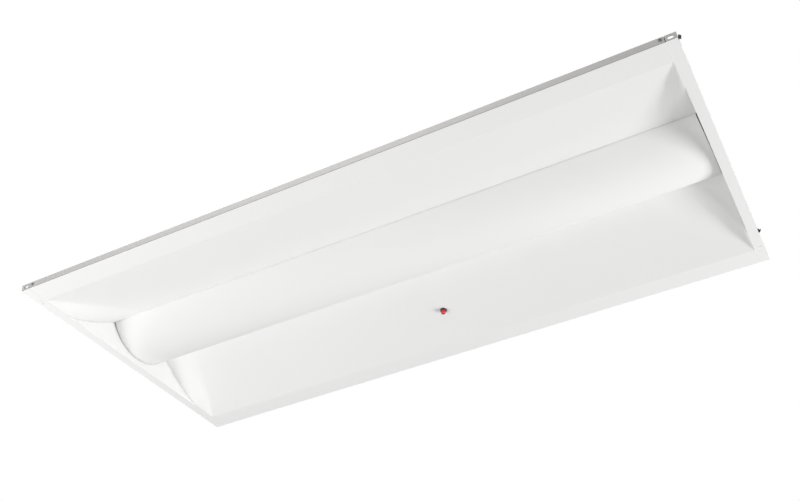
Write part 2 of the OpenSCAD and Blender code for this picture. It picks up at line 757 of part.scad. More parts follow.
module light_chips() {
    color("khaki") at_boards() for (k = [0 : chip_count - 1])
        translate([(k + 0.5) * chip_pitch - chip_size[0] / 2, -chip_size[1] / 2, -chip_size[2]])
            cube(chip_size);
}

module board_screws() {
    color("silver") at_board_screws() translate([0, 0, tray_z - board_t]) rotate([0, 90, 0])
        pan_screw(board_t + gear_sheet_t, board_screw_r, 2.8, 1.5);
}

// Push in connectors at the inner ends of the boards
module board_connectors() {
    color("ivory") at_boards() translate([connector_in, connector_side, -connector_size[2]]) difference() {
        cube(connector_size);
        for (y = connector_ways) translate([0, y, connector_size[2] / 2])
            rod_x(lead_r + lead_end_gap, -1, connector_way_l);
    }
}

module tray_grommet() {
    color("black") difference() {
        union() {
            translate([0, 0, tray_z - 1.4]) cylinder(r = grommet_r, h = 1.4);
            translate([0, 0, tray_z - 0.4]) cylinder(r = grommet_r - 1.5, h = gear_sheet_t + 0.8);
            translate([0, 0, tray_top]) cylinder(r = grommet_r, h = 1.4);
        }
        translate([0, 0, tray_z - 3]) cylinder(r = grommet_hole_r, h = 8);
    }
}

// Mounting screws at both ends of a case that starts at x, on the tray's top
module at_gear_screws(x, length, y) {
    for (s = [gear_foot / 2, length - gear_foot / 2]) translate([x + s, y, tray_top + case_t]) children();
}

// Open base of a gear case with a foot at each end, its corner at the origin
module case_base(size) {
    difference() {
        cube(size);
        translate([gear_foot + case_t, case_t, case_t])
            cube([size[0] - 2 * gear_foot - 2 * case_t, size[1] - 2 * case_t, size[2]]);
        for (x = [-1, size[0] - gear_foot]) translate([x, -1, case_t])
            cube([gear_foot + 1, size[1] + 2, size[2]]);
        for (x = [gear_foot / 2, size[0] - gear_foot / 2])
            translate([x, size[1] / 2, -1]) cylinder(r = gear_screw_r + screw_fit, h = 4);
        for (x = [gear_foot - 1, size[0] - gear_foot - 2]) translate([x, size[1] / 2 - 7, size[2] - 8])
            cube([3, 14, 9]);
    }
}

// Lid with turned down sides that closes a case base from above
module case_cover(size) {
    skirt = size[2] * 0.6;
    translate([gear_foot, -case_t - sheet_gap, size[2] - skirt]) difference() {
        cube([size[0] - 2 * gear_foot, size[1] + 2 * case_t + 2 * sheet_gap, skirt + sheet_gap + case_t]);
        translate([-1, case_t, -1])
            cube([size[0], size[1] + 2 * sheet_gap, skirt + sheet_gap + 1]);
    }
}

module case_screws(size) {
    for (x = [gear_foot / 2, size[0] - gear_foot / 2])
        translate([x, size[1] / 2, case_t]) rotate([0, -90, 0]) pan_screw(4);
}

case_top_room = 7;
circuit_t = 1.6;
choke_size = [18, 16];
coil_size = [22, 20];
capacitor_r = 4;
driver_size = [driver_l, driver_w, driver_h];
battery_size = [battery_l, battery_w, battery_h];
module at_driver() { translate([driver_x, -gear_y - driver_w / 2, tray_top]) children(); }
module at_battery() { translate([battery_x, gear_y - battery_w / 2, tray_top]) children(); }

module driver_case() { color("silver") at_driver() case_base(driver_size); }
module driver_cover() { color("white") at_driver() case_cover(driver_size); }
module driver_screws() { color("silver") at_driver() case_screws(driver_size); }
module battery_case() { color("silver") at_battery() case_base(battery_size); }
module battery_cover() { color("firebrick") at_battery() case_cover(battery_size); }
module battery_screws() { color("silver") at_battery() case_screws(battery_size); }

// Circuit board on four posts inside a case, with parts that stand on it
module case_circuit(size, start, length) {
    inset = case_t + 1;
    board_z = case_t + 3;
    post_in = 4;
    part_h = size[2] - case_top_room - board_z - 1;
    translate([start, inset, board_z]) cube([length, size[1] - 2 * inset, circuit_t]);
    for (x = [post_in, length - post_in]) for (y = [inset + post_in, size[1] - inset - post_in])
        translate([start + x, y, case_t]) cylinder(r = post_in / 2, h = board_z - case_t + eps);
    translate([start, size[1] / 2, board_z + 1]) {
        translate([length * 0.2, -choke_size[1] / 2, 0]) cube([choke_size[0], choke_size[1], part_h]);
        translate([length * 0.45, -coil_size[1] / 2, 0]) cube([coil_size[0], coil_size[1], part_h - 2]);
        for (x = [0.7, 0.8, 0.9]) translate([length * x, 0, 0]) cylinder(r = capacitor_r, h = part_h);
    }
}

module driver_circuit() {
    color("green") at_driver()
        case_circuit(driver_size, gear_foot + case_t + 2, driver_l - 2 * gear_foot - 2 * case_t - 14);
}

cells_start = gear_foot + case_t + 4;
module battery_cells() {
    row_y = cell_r + cell_gap / 2;
    color("gold") at_battery() for (k = [0, 1]) for (y = [-row_y, row_y])
        translate([cells_start + k * (cell_l + cell_gap), battery_w / 2 + y, case_t + cell_r]) {
            rod_x(cell_r, 0, cell_l - 1.5);
            rod_x(cell_r * 0.35, cell_l - 2, cell_l);
        }
}

module charger_circuit() {
    start = cells_start + 2 * cell_l + 8;
    length = battery_l - gear_foot - case_t - 10 - start;
    color("green") at_battery() case_circuit(battery_size, start, length);
}

// Three way terminal block under the access plate
module at_terminal() { translate([terminal_x, -terminal_size[1] / 2, tray_top]) children(); }
function way_y(k) = 5 + 10 * k;
way_z = 6;
way_depth = 4;
terminal_screw_r = 2.3;
terminal_screw_x = [10, 26];

module terminal_block() {
    color("ivory") at_terminal() difference() {
        cube(terminal_size);
        for (k = [0 : 2]) {
            translate([0, way_y(k), way_z]) rod_x(lead_r + lead_end_gap, -1, way_depth + 1);
            translate([terminal_size[0], way_y(k), way_z]) rod_x(2.2, -8, 1);
            for (x = terminal_screw_x) translate([x, way_y(k), way_z + 1])
                cylinder(r = terminal_screw_r + eps, h = 7);
        }
    }
}

module terminal_screws() {
    color("silver") at_terminal() for (k = [0 : 2]) for (x = terminal_screw_x)
        translate([x, way_y(k), way_z + 1]) difference() {
            cylinder(r = terminal_screw_r, h = 4);
            translate([-3, -0.4, 3]) cube([6, 0.8, 2]);
        }
}

ground_back = 18;
module at_ground_screw() { translate([terminal_x - ground_back, ground_y, tray_top]) children(); }

module ground_screw() {
    color("green") at_ground_screw() {
        translate([0, 0, 2.4]) cylinder(r = 4.4, h = 3, $fn = 6);
        translate([0, 0, 1.6]) cylinder(r = 5, h = 0.9);
        translate([0, 0, -4]) cylinder(r = gear_screw_r, h = 6);
    }
}

// Leads from the driver's right end to the terminal block and the ground screw
driver_end = driver_x + driver_l - gear_foot + lead_end_gap;
driver_start = driver_x + gear_foot - lead_end_gap;
battery_end = battery_x + battery_l - gear_foot + lead_end_gap;
lead_z = tray_top + driver_h - 4;
lead_run = 12;
battery_run = 20;
terminal_z = tray_top + way_z;
function terminal_y(k) = way_y(k) - terminal_size[1] / 2;

module supply_lead(k, dy) {
    lead(concat(
        run_x([driver_end, -gear_y + dy, lead_z], lead_run),
        run_x([terminal_x + way_depth - 22, terminal_y(k), terminal_z], 22)));
}

module live_lead() { color("black") supply_lead(0, -4); }
module neutral_lead() { color("white") supply_lead(1, 4); }

module ground_lead() {
    screw_x = terminal_x - ground_back;
    color("green") lead(concat(
        run_x([terminal_x + way_depth, terminal_y(2), terminal_z], -ground_back),
        [[screw_x, terminal_y(2) + 12, tray_top + 3], [screw_x, ground_y - 5.2, tray_top + 2]]));
}

// Leads from the driver down through the grommet to the four board connectors
module board_leads() {
    color("firebrick") for (sx = [-1, 1]) for (sy = [-1, 1]) {
        start_y = -gear_y + 3 * sy + 1.5 * sx;
        way = sy > 0 ? connector_ways[0] : connector_ways[1];
        conn_y = sy * board_y + connector_side + way;
        way_end = board_gap / 2 + connector_in + connector_way_l - lead_end_gap;
        start_x = 4.5;
        lead(concat(
            run_x([driver_start, start_y, lead_z], -lead_run),
            [[driver_start / 5 + 4 * sx, -14 + 3 * sy, tray_top + 9 - 3 * sx],
                [2.4 * sx, 2.4 * sy, tray_top + 3],
                [2.4 * sx, 2.4 * sy, tray_z - 2], [2.6 * sx, conn_y * 0.4, connector_z],
                [2.8 * sx, conn_y * 0.8, connector_z]],
            run_x([sx * start_x, conn_y, connector_z], sx * (way_end - start_x))));
    }
}

// Leads from the battery pack to the driver, over the board leads
module battery_leads() {
    color("goldenrod") for (s = [-1, 1]) {
        start_y = gear_y - 6 + 2 * s;
        end_y = -gear_y + driver_w / 2 - 5 + 1.6 * s;
        lead(concat(
            run_x([battery_end, start_y, lead_z], battery_run),
            [[(battery_end + driver_start) / 2 - 4, 14 + 2 * s, lead_z + 4],
                [driver_start - 3 * lead_run, -18 + 2 * s, lead_z + 4]],
            run_x([driver_start - lead_run, end_y, lead_z - 4], lead_run)));
    }
}

// Point in the part's frame of a point in the switch frame
function switch_point(p) = [switch_x + p[0],
    switch_y + p[1] * cos(switch_tilt) + p[2] * sin(switch_tilt),
    reflector_z(switch_s) - p[1] * sin(switch_tilt) + p[2] * cos(switch_tilt)];

// Leads from the battery pack through the bushing to the switch, behind the far reflector
module switch_leads() {
    color("blueviolet") for (s = [-1, 1]) {
        start_y = gear_y + 8 + 3 * s;
        in_z = bushing_z + 1.4 * s;
        lead(concat(
            run_x([battery_end, start_y, lead_z], lead_run),
            [[bushing_x, channel_in_y - 8, in_z], [bushing_x, channel_out_y + 5, in_z],
                [switch_x - 12 - 1.4 * s, (channel_out_y + switch_y) / 2, in_z - 8]],
            [for (rise = [12, 4, lead_end_gap]) switch_point([-2 * s, 0, switch_top + rise])]));
    }
}

// Black collar and threaded body of the test switch
module switch_body() {
    color("black") at_switch() difference() {
        union() {
            translate([0, 0, -collar_h - seat_gap])
                cylinder(r1 = collar_r - 0.6, r2 = collar_r, h = collar_h);
            translate([0, 0, -1]) cylinder(r = thread_r, h = body_top + 1);
        }
        translate([0, 0, -collar_h - 1])
            cylinder(r = button_r + pivot_fit, h = collar_h + 1 + recess_floor);
        translate([0, 0, -1]) cylinder(r = stem_r + pivot_fit, h = 5);
        translate([0, 0, cavity_floor]) cylinder(r = cavity_r, h = body_top);
    }
}

module switch_nut() {
    color("silver") at_switch() translate([0, 0, sheet_t / cos(slope_angle) + seat_gap]) difference() {
        cylinder(r = nut_r, h = nut_h, $fn = 6);
        translate([0, 0, -1]) cylinder(r = thread_r + seat_gap, h = nut_h + 2);
    }
}

module switch_base() {
    color("black") at_switch() translate([0, 0, body_top]) difference() {
        cylinder(r = thread_r, h = base_h);
        for (x = [-2, 2]) translate([x - 0.6, -1.6, -1]) cube([1.2, 3.2, base_h + 2]);
    }
}

module switch_terminals() {
    color("gold") at_switch() for (x = [-2, 2]) translate([x - 0.4, -1.4, body_top])
        cube([0.8, 2.8, switch_top - body_top]);
}

// Red cap, stem and stem head, which slide together
module test_button() {
    rest_gap = button_travel + 0.2;
    cap_top = recess_floor - rest_gap;
    head_z = cavity_floor + 0.2;
    color("red") at_switch() {
        translate([0, 0, -collar_h - button_proud])
            cylinder(r = button_r, h = cap_top + collar_h + button_proud);
        translate([0, 0, cap_top - eps]) cylinder(r = stem_r, h = head_z - cap_top + 2 * eps);
        translate([0, 0, head_z]) cylinder(r = stem_head_r, h = 1);
    }
}

// Coil that pushes the button back out
module button_spring() {
    low = cavity_floor + 1.2 + spring_wire_r + seat_gap;
    high = body_top - spring_wire_r - seat_gap;
    steps = 14 * spring_turns;
    color("silver") at_switch() tube([for (i = [0 : steps]) let (a = 360 * i * spring_turns / steps)
        [spring_r * cos(a), spring_r * sin(a), low + (high - low) * i / steps]], spring_wire_r, 6);
}

// Hinged plate over the wiring, with the middle knuckle
module access_plate() {
    color("lightgray") difference() {
        union() {
            span_box([access_x + 4, -access_w / 2, access_z],
                [access_x + access_l, access_w / 2, access_z + gear_sheet_t]);
            span_box([access_x, -knuckle_w / 2, access_z],
                [access_x + 5, knuckle_w / 2, access_z + gear_sheet_t]);
            translate([access_x, 0, hinge_z]) rod_y(access_knuckle_r, -knuckle_w / 2, knuckle_w / 2);
        }
        translate([access_x, 0, hinge_z]) rod_y(access_pin_r + pivot_fit, -knuckle_w, knuckle_w);
        translate([access_screw_x, 0, access_z - 1]) cylinder(r = gear_screw_r + pivot_fit, h = 5);
    }
}

// Leaf with the two outer knuckles, welded to the channel's top
module access_hinge_leaf() {
    knuckle_in = knuckle_w / 2 + sheet_gap;
    color("lightgray") both_sides() difference() {
        union() {
            span_box([access_x - 14, 0, housing_h], [access_x - 3, hinge_half_w, housing_h + gear_sheet_t]);
            span_box([access_x - 4, knuckle_in, housing_h],
                [access_x, hinge_half_w, housing_h + gear_sheet_t]);
            translate([access_x, 0, hinge_z]) rod_y(access_knuckle_r, knuckle_in, hinge_half_w);
        }
        translate([access_x, 0, hinge_z]) rod_y(access_pin_r + pivot_fit, 0, hinge_half_w + 1);
    }
}

module access_hinge_pin() {
    head_y = hinge_half_w + 0.2;
    color("silver") translate([access_x, 0, hinge_z]) {
        rod_y(access_pin_r, -head_y, head_y);
        both_sides() rod_y(access_pin_r + 0.9, head_y, head_y + 1);
    }
}

// Captive screw in the free end of the access plate
module access_screw() {
    color("silver") translate([access_screw_x, 0, access_z + gear_sheet_t]) rotate([0, -90, 0])
        pan_screw(5);
}

reflector_near();
reflector_far();
end_plate_right();
end_plate_left();
housing_channel();
corner_rivets();
end_screws();
side_screws();
entry_plugs();
lead_bushing();
clip_near_right();
clip_far_right();
clip_near_left();
clip_far_left();
clip_pivot_studs();
lens();
lens_cap_right();
lens_cap_left();
lens_pivot_brackets();
lens_catches();
gear_tray();
light_boards();
light_chips();
board_screws();
board_connectors();
tray_grommet();
driver_case();
driver_cover();
driver_circuit();
driver_screws();
battery_case();
battery_cover();
battery_cells();
charger_circuit();
battery_screws();
terminal_block();
terminal_screws();
ground_screw();
live_lead();
neutral_lead();
ground_lead();
board_leads();
battery_leads();
switch_leads();
switch_body();
switch_nut();
switch_base();
switch_terminals();
test_button();
button_spring();
access_plate();
access_hinge_leaf();
access_hinge_pin();
access_screw();
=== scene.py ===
"""A recessed ceiling troffer, dressed around its packed CAD frame.

Each operator makes one group of pieces: the reflectors, the end plates, the grid clips, the lens, the test
switch, the housing, the access plate, the light boards, the driver, the battery pack and the wiring. The
last operator sets up the camera, the lamps and the floor.
"""

import json
import math

import bmesh
import bpy
from bpy.props import BoolProperty, FloatProperty, FloatVectorProperty, IntProperty, PointerProperty
from mathutils import Euler, Matrix, Vector


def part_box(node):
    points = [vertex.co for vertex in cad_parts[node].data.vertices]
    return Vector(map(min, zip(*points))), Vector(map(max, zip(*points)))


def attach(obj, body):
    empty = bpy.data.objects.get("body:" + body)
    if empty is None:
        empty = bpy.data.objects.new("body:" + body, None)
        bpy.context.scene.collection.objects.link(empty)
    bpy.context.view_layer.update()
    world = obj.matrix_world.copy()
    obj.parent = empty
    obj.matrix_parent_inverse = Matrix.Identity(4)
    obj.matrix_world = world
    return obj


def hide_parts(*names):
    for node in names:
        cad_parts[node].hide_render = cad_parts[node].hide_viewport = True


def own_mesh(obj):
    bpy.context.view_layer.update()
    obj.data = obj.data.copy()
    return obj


bl_info = {
    "name": "Ceiling troffer",
    "version": (1, 0, 0),
    "blender": (4, 5, 0),
    "location": "View3D > Sidebar > Troffer",
    "description": "Builds the looks of a recessed ceiling troffer around its CAD frame",
    "category": "Object",
}

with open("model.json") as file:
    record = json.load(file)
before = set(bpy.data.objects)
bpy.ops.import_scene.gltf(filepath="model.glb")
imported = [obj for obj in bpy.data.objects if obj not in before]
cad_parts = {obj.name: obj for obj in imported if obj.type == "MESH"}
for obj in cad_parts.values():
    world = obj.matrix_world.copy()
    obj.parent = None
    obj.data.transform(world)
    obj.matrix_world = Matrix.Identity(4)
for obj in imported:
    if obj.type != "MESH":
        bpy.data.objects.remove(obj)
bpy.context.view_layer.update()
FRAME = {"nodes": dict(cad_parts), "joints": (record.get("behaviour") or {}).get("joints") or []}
NODES = FRAME["nodes"]
FIXTURE = "fixture"
LENS_DOOR = "lens_door"
ACCESS_DOOR = "access_door"
BUTTON = "test_button_cap"

END_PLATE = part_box("end_plate_right")
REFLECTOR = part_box("reflector_far")
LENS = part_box("lens")

WELD = 2e-6  # metres between points of a CAD mesh that are one point
PLAY = 0.0001  # metres of slack where a form is set against the frame
ROUND_SHARE = 0.3  # share of a rounding's reach at which its middle point lies
SWITCH_RECESS = -0.0002  # height at which the cap's bore ends in the switch body


# Sizes and colours that a user would change


class TrofferReflectors(bpy.types.PropertyGroup):
    """Sizes of the two reflector sheets."""

    side_flange: FloatProperty(
        name="Side flange", description="Flat flange along each long side",
        default=0.043, min=0.03, max=0.06, unit="LENGTH")
    end_flange: FloatProperty(
        name="End flange", description="Flat flange at each end",
        default=0.017, min=0.016, max=0.024, unit="LENGTH")
    rim_height: FloatProperty(
        name="Rim height", description="Height of the upturned rim",
        default=END_PLATE[0].z + 0.013, min=0.012, max=0.018, unit="LENGTH")
    edge_height: FloatProperty(
        name="Lens edge height", description="Height of the inner edge beside the lens",
        default=0.0516, min=0.046, max=0.056, unit="LENGTH")
    edge_gap: FloatProperty(
        name="Lens gap", description="Gap between the lens and a reflector's inner edge",
        default=0.0004, min=0.0003, max=0.001, unit="LENGTH")
    bow: FloatProperty(
        name="Bow", description="Rise of the middle above a straight slope",
        default=0.002, min=0.0, max=0.004, unit="LENGTH")
    scoop_length: FloatProperty(
        name="Scoop length", description="Length of the scooped end where it meets the lens",
        default=0.081, min=0.04, max=0.12, unit="LENGTH")
    scoop_level: FloatProperty(
        name="Level strip",
        description="Width beside the flange where the scooped end lies level with the face",
        default=0.053, min=0.02, max=0.08, unit="LENGTH")
    end_lean: FloatProperty(
        name="End lean", description="Lean of the end walls towards the middle",
        default=math.radians(4), min=0.0, max=math.radians(6), subtype="ANGLE", unit="ROTATION")
    sheet: FloatProperty(
        name="Sheet", description="Thickness of the sheet steel",
        default=0.0008, min=0.0006, max=0.0012, unit="LENGTH")
    bend: FloatProperty(
        name="Bend radius", description="Reach of the rounded bends to each side of a fold",
        default=0.0012, min=0.0006, max=0.003, unit="LENGTH")
    slope_rows: IntProperty(
        name="Slope rows", description="Rows of faces across the slope", default=36, min=8, max=96)
    scoop_steps: IntProperty(
        name="Scoop steps", description="Rows of faces along each scooped end", default=28, min=8, max=64)


class TrofferLens(bpy.types.PropertyGroup):
    """Sizes of the bowed lens."""

    wall: FloatProperty(
        name="Wall", description="Wall of the lens", default=0.002, min=0.0015, max=0.003, unit="LENGTH")
    lip: FloatProperty(
        name="Lip", description="Thickness of the upright lip along each edge",
        default=0.0014, min=0.001, max=0.002, unit="LENGTH")
    lip_height: FloatProperty(
        name="Lip height", description="Height of the lip above the edge of the bow",
        default=0.0046, min=0.003, max=0.006, unit="LENGTH")
    end_step: FloatProperty(
        name="End step", description="Reach of the bow's bottom beyond the lens edges at each end",
        default=0.005025, min=0.0, max=0.008, unit="LENGTH")
    edge_round: FloatProperty(
        name="Edge rounding", description="Rounding of the lens ends",
        default=0.0004, min=0.0001, max=0.0008, unit="LENGTH")
    cap: FloatProperty(
        name="Cap", description="Thickness of the plate that closes each end",
        default=0.0015, min=0.001, max=0.003, unit="LENGTH")
    glue_gap: FloatProperty(
        name="Glue gap", description="Gap between the caps and the lens",
        default=0.00015, min=0.0001, max=0.0003, unit="LENGTH")
    arc_steps: IntProperty(
        name="Arc steps", description="Faces across the bow", default=96, min=24, max=180)


class TrofferSwitch(bpy.types.PropertyGroup):
    """Place and sizes of the test switch."""

    along: FloatProperty(
        name="Along", description="Place along the fixture",
        default=(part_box("switch_nut")[0].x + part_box("switch_nut")[1].x) / 2, unit="LENGTH")
    across: FloatProperty(
        name="Across", description="Place across the fixture, on the reflector's visible face",
        default=0.1785, min=0.15, max=0.22, unit="LENGTH")
    collar_radius: FloatProperty(
        name="Collar radius", description="Radius of the black collar",
        default=0.0065, min=0.006, max=0.009, unit="LENGTH")
    collar_height: FloatProperty(
        name="Collar height", description="Height of the collar below the reflector",
        default=0.0035, min=0.002, max=0.005, unit="LENGTH")
    cap_radius: FloatProperty(
        name="Cap radius", description="Radius of the red cap",
        default=0.0046, min=0.004, max=0.005, unit="LENGTH")
    cap_reach: FloatProperty(
        name="Cap reach", description="Height of the cap below the collar",
        default=0.0055, min=0.003, max=0.008, unit="LENGTH")
    travel: FloatProperty(
        name="Travel", description="Travel of the cap",
        default=0.002, min=0.001, max=0.0025, unit="LENGTH")


class TrofferFinish(bpy.types.PropertyGroup):
    """Colours and surface of the finishes."""

    paint: FloatVectorProperty(
        name="White paint", description="Powder coat of the visible sheets",
        subtype="COLOR", default=(0.86, 0.86, 0.855), min=0.0, max=1.0)
    # Grey of the rims' outer faces: painted shade. Those faces carry the same white paint as the flange, and
    # this grey stands in for the shade they lie in.
    rim_shade_grey: FloatVectorProperty(
        name="Rim", description="Thin paint over the bare outside of the rims",
        subtype="COLOR", default=(0.46, 0.455, 0.445), min=0.0, max=1.0)
    backing: FloatVectorProperty(
        name="Backing coat", description="Coat on the hidden side of the sheets",
        subtype="COLOR", default=(0.66, 0.665, 0.66), min=0.0, max=1.0)
    diffuser: FloatVectorProperty(
        name="Lens", description="Opal plastic of the lens",
        subtype="COLOR", default=(0.893, 0.891, 0.880), min=0.0, max=1.0)
    zinc: FloatVectorProperty(
        name="Galvanised sheet", description="Bare zinc coated sheet",
        subtype="COLOR", default=(0.62, 0.63, 0.64), min=0.0, max=1.0)
    button_red: FloatVectorProperty(
        name="Button", description="Red plastic of the test button",
        subtype="COLOR", default=(0.66, 0.012, 0.035), min=0.0, max=1.0)
    gloss: FloatProperty(
        name="Paint roughness", description="Roughness of the powder coat",
        default=0.5, min=0.1, max=1.0, subtype="FACTOR")


class TrofferStage(bpy.types.PropertyGroup):
    """Camera, lamps and floor."""

    camera_place: FloatVectorProperty(
        name="Camera", description="Place of the camera, below the fixture",
        subtype="XYZ", unit="LENGTH", precision=6, default=(0.689851, -1.397885, -1.135287))
    camera_turn: FloatVectorProperty(
        name="Camera turn", description="Turn of the camera",
        subtype="EULER", unit="ROTATION", precision=6, default=(2.224023, 0.037826, 0.482047))
    focal_length: FloatProperty(
        name="Focal length", description="Focal length on a 36 mm wide frame, in millimetres",
        default=47.9778, min=20.0, max=200.0)
    ambient: FloatProperty(
        name="Ambient", description="Strength of the even white light from all round",
        default=0.42, min=0.0, max=1.0)
    key_power: FloatProperty(
        name="Key lamp", description="Power of the distant lamp beyond the right end, in watts",
        default=200.0, min=0.0, max=900.0)
    fill_power: FloatProperty(
        name="Fill lamp", description="Power of the lamp below the near left corner, in watts",
        default=21.5, min=0.0, max=500.0)
    corner_power: FloatProperty(
        name="Corner lamp", description="Power of the lamp below the far right corner, in watts",
        default=3.0, min=0.0, max=500.0)
    top_power: FloatProperty(
        name="Top lamp", description="Power of the lamp above the fixture, in watts",
        default=55.0, min=0.0, max=500.0)
    floor_depth: FloatProperty(
        name="Floor depth", description="Depth of the floor below the face",
        default=6.0, min=1.0, max=12.0, unit="LENGTH")
    show_floor: BoolProperty(
        name="Floor", description="Make the pale floor below the fixture", default=True)


PROPERTY_GROUPS = {
    "troffer_reflectors": TrofferReflectors,
    "troffer_lens": TrofferLens,
    "troffer_switch": TrofferSwitch,
    "troffer_finish": TrofferFinish,
    "troffer_stage": TrofferStage,
}


# Shader sockets with Python arithmetic


class Signal:
    """A shader socket. Arithmetic on it adds Math nodes to its tree."""

    def __init__(self, tree, socket):
        self.tree = tree
        self.socket = socket

    def math(self, operation, *values):
        return self.tree.node("ShaderNodeMath", {"operation": operation}, dict(enumerate(values)))

    def __add__(self, other):
        return self.math("ADD", self, other)

    def __radd__(self, other):
        return self.math("ADD", other, self)

    def __sub__(self, other):
        return self.math("SUBTRACT", self, other)

    def __rsub__(self, other):
        return self.math("SUBTRACT", other, self)

    def __mul__(self, other):
        return self.math("MULTIPLY", self, other)

    def __rmul__(self, other):
        return self.math("MULTIPLY", other, self)

    def above(self, other):
        return self.math("GREATER_THAN", self, other)

    def most(self, other):
        return self.math("MAXIMUM", self, other)

    def fraction(self):
        return self.math("FRACT", self)


class ShaderTree:
    """Adds nodes to a material's or the world's node tree."""

    def __init__(self, owner):
        owner.use_nodes = True
        self.nodes = owner.node_tree.nodes
        self.links = owner.node_tree.links
        self.nodes.clear()

    def node(self, kind, settings=None, inputs=None, output=0):
        made = self.nodes.new(kind)
        for name, value in (settings or {}).items():
            if name == "stops":
                self.set_stops(made.color_ramp, value)
            else:
                setattr(made, name, value)
        for key, value in (inputs or {}).items():
            if isinstance(value, Signal):
                self.links.new(value.socket, made.inputs[key])
            else:
                made.inputs[key].default_value = value
        return Signal(self, made.outputs[output]) if len(made.outputs) else made

    @staticmethod
    def set_stops(ramp, stops):
        while len(ramp.elements) < len(stops):
            ramp.elements.new(1.0)
        for element, (position, grey) in zip(ramp.elements, stops):
            element.position = position
            element.color = (grey, grey, grey, 1.0)

    def place(self, stretch=(1, 1, 1)):
        """Object coordinates, in metres, stretched for grain that runs one way."""
        where = self.node("ShaderNodeTexCoord", output="Object")
        return self.node("ShaderNodeVectorMath", {"operation": "MULTIPLY"}, {0: where, 1: stretch})

    def noise(self, scale, detail, stretch=(1, 1, 1), roughness=0.5):
        return self.node("ShaderNodeTexNoise", {}, {
            "Vector": self.place(stretch), "Scale": scale, "Detail": detail, "Roughness": roughness})

    def cells(self, scale, output="Distance"):
        return self.node("ShaderNodeTexVoronoi", {}, {"Vector": self.place(), "Scale": scale}, output)

    def ramp(self, value, *stops):
        return self.node("ShaderNodeValToRGB", {"stops": stops}, {0: value})

    def mix(self, share, first, second):
        """Two colours mixed by a share from 0 to 1. The sockets go by number, because their names repeat."""
        first, second = (c if isinstance(c, Signal) else (*c, 1.0) for c in (first, second))
        return self.node("ShaderNodeMix", {"data_type": "RGBA"}, {0: share, 6: first, 7: second}, 2)

    def bump(self, height, distance, strength):
        inputs = {"Height": height, "Distance": distance, "Strength": strength}
        return self.node("ShaderNodeBump", {}, inputs)


class Finish(ShaderTree):
    """A material with one Principled surface."""

    def __init__(self, name):
        self.material = bpy.data.materials.new(name)
        super().__init__(self.material)

    def surface(self, **sockets):
        """Sets the surface from socket names in lower case, such as base_color or specular_ior_level."""
        inputs = {}
        for name, value in sockets.items():
            inputs[name.replace("_", " ").title().replace("Ior", "IOR")] = value
        shader = self.node("ShaderNodeBsdfPrincipled", {}, inputs)
        self.node("ShaderNodeOutputMaterial", {}, {"Surface": shader})
        return self.material


def toned(colour, factor):
    """The same colour, lighter or darker."""
    return tuple(min(1.0, c * factor) for c in colour)


# Finishes, one function each


def powder_coat(name, colour, roughness, speck=0.0):
    """Powder coat: slow tone drift, fine orange peel, and grime in a few specks if asked."""
    finish = Finish(name)
    drift = finish.noise(3.0, 3.0)
    peel = finish.noise(620.0, 2.0)
    base = finish.mix(drift, toned(colour, 0.985), toned(colour, 1.015))
    if speck:
        spots = finish.ramp(finish.noise(240.0, 4.0), (0.70, 0.0), (0.76, 1.0))
        base = finish.mix(spots * speck, base, toned(colour, 0.6))
    return finish.surface(
        base_color=base, roughness=roughness - 0.04 + drift * 0.08, normal=finish.bump(peel, 0.00004, 0.35))


def backing_coat(name, colour):
    """Thin grey backing coat with roller streaks along the sheet."""
    finish = Finish(name)
    streaks = finish.noise(40.0, 3.0, (0.15, 6.0, 6.0))
    drift = finish.noise(5.0, 4.0)
    base = finish.mix(streaks * 0.6 + drift * 0.4, toned(colour, 0.9), toned(colour, 1.07))
    return finish.surface(
        base_color=base, roughness=0.48 + streaks * 0.14, metallic=0.15,
        normal=finish.bump(streaks, 0.00005, 0.4))


def rim_painted_shade(name, colour):
    """Satin grey of painted shade on the rims: fine lengthwise lines, darker over the lowest 4 mm, a few
    rubbed spots.
    """
    finish = Finish(name)
    # The rim is darker over its lowest 4 mm.
    dark_band_height = 0.004
    lines = finish.noise(90.0, 3.0, (0.05, 8.0, 8.0))
    mottle = finish.noise(55.0, 5.0, (0.6, 1.0, 1.0), 0.6)
    height = finish.node("ShaderNodeSeparateXYZ", {}, {0: finish.place()}, "Z")
    fold = finish.ramp(height * (1.0 / dark_band_height), (0.0, 1.0), (0.55, 0.0))
    # The rim's grey itself is painted shade over white paint.
    base = finish.mix(lines * 0.5 + mottle * 0.5, toned(colour, 0.8), toned(colour, 1.2))
    base = finish.mix(fold * 0.55, base, toned(colour, 0.42))
    return finish.surface(
        base_color=base, roughness=0.36 + mottle * 0.2, metallic=0.25,
        normal=finish.bump(lines, 0.00004, 0.5))


def galvanised(name, colour, spangle=70.0):
    """Zinc coated sheet: flat crystals that differ in tone and gloss, over faint rolling lines."""
    finish = Finish(name)
    crystal = finish.node("ShaderNodeSeparateColor", {}, {0: finish.cells(spangle, "Color")}, "Red")
    lines = finish.noise(60.0, 2.0, (0.1, 5.0, 5.0))
    tone = crystal * 0.65 + lines * 0.35
    base = finish.mix(tone, toned(colour, 0.82), toned(colour, 1.16))
    return finish.surface(
        base_color=base, roughness=0.34 + crystal * 0.2, metallic=0.75,
        normal=finish.bump(tone, 0.00003, 0.35))


def plated(name, colour, metallic=0.95):
    """Plated fastener: turned lines and slight tarnish."""
    finish = Finish(name)
    turned = finish.noise(900.0, 2.0, (1.0, 1.0, 0.2))
    tarnish = finish.noise(150.0, 4.0)
    base = finish.mix(tarnish, toned(colour, 0.8), toned(colour, 1.1))
    return finish.surface(
        base_color=base, roughness=0.26 + turned * 0.2, metallic=metallic,
        normal=finish.bump(turned, 0.00003, 0.4))


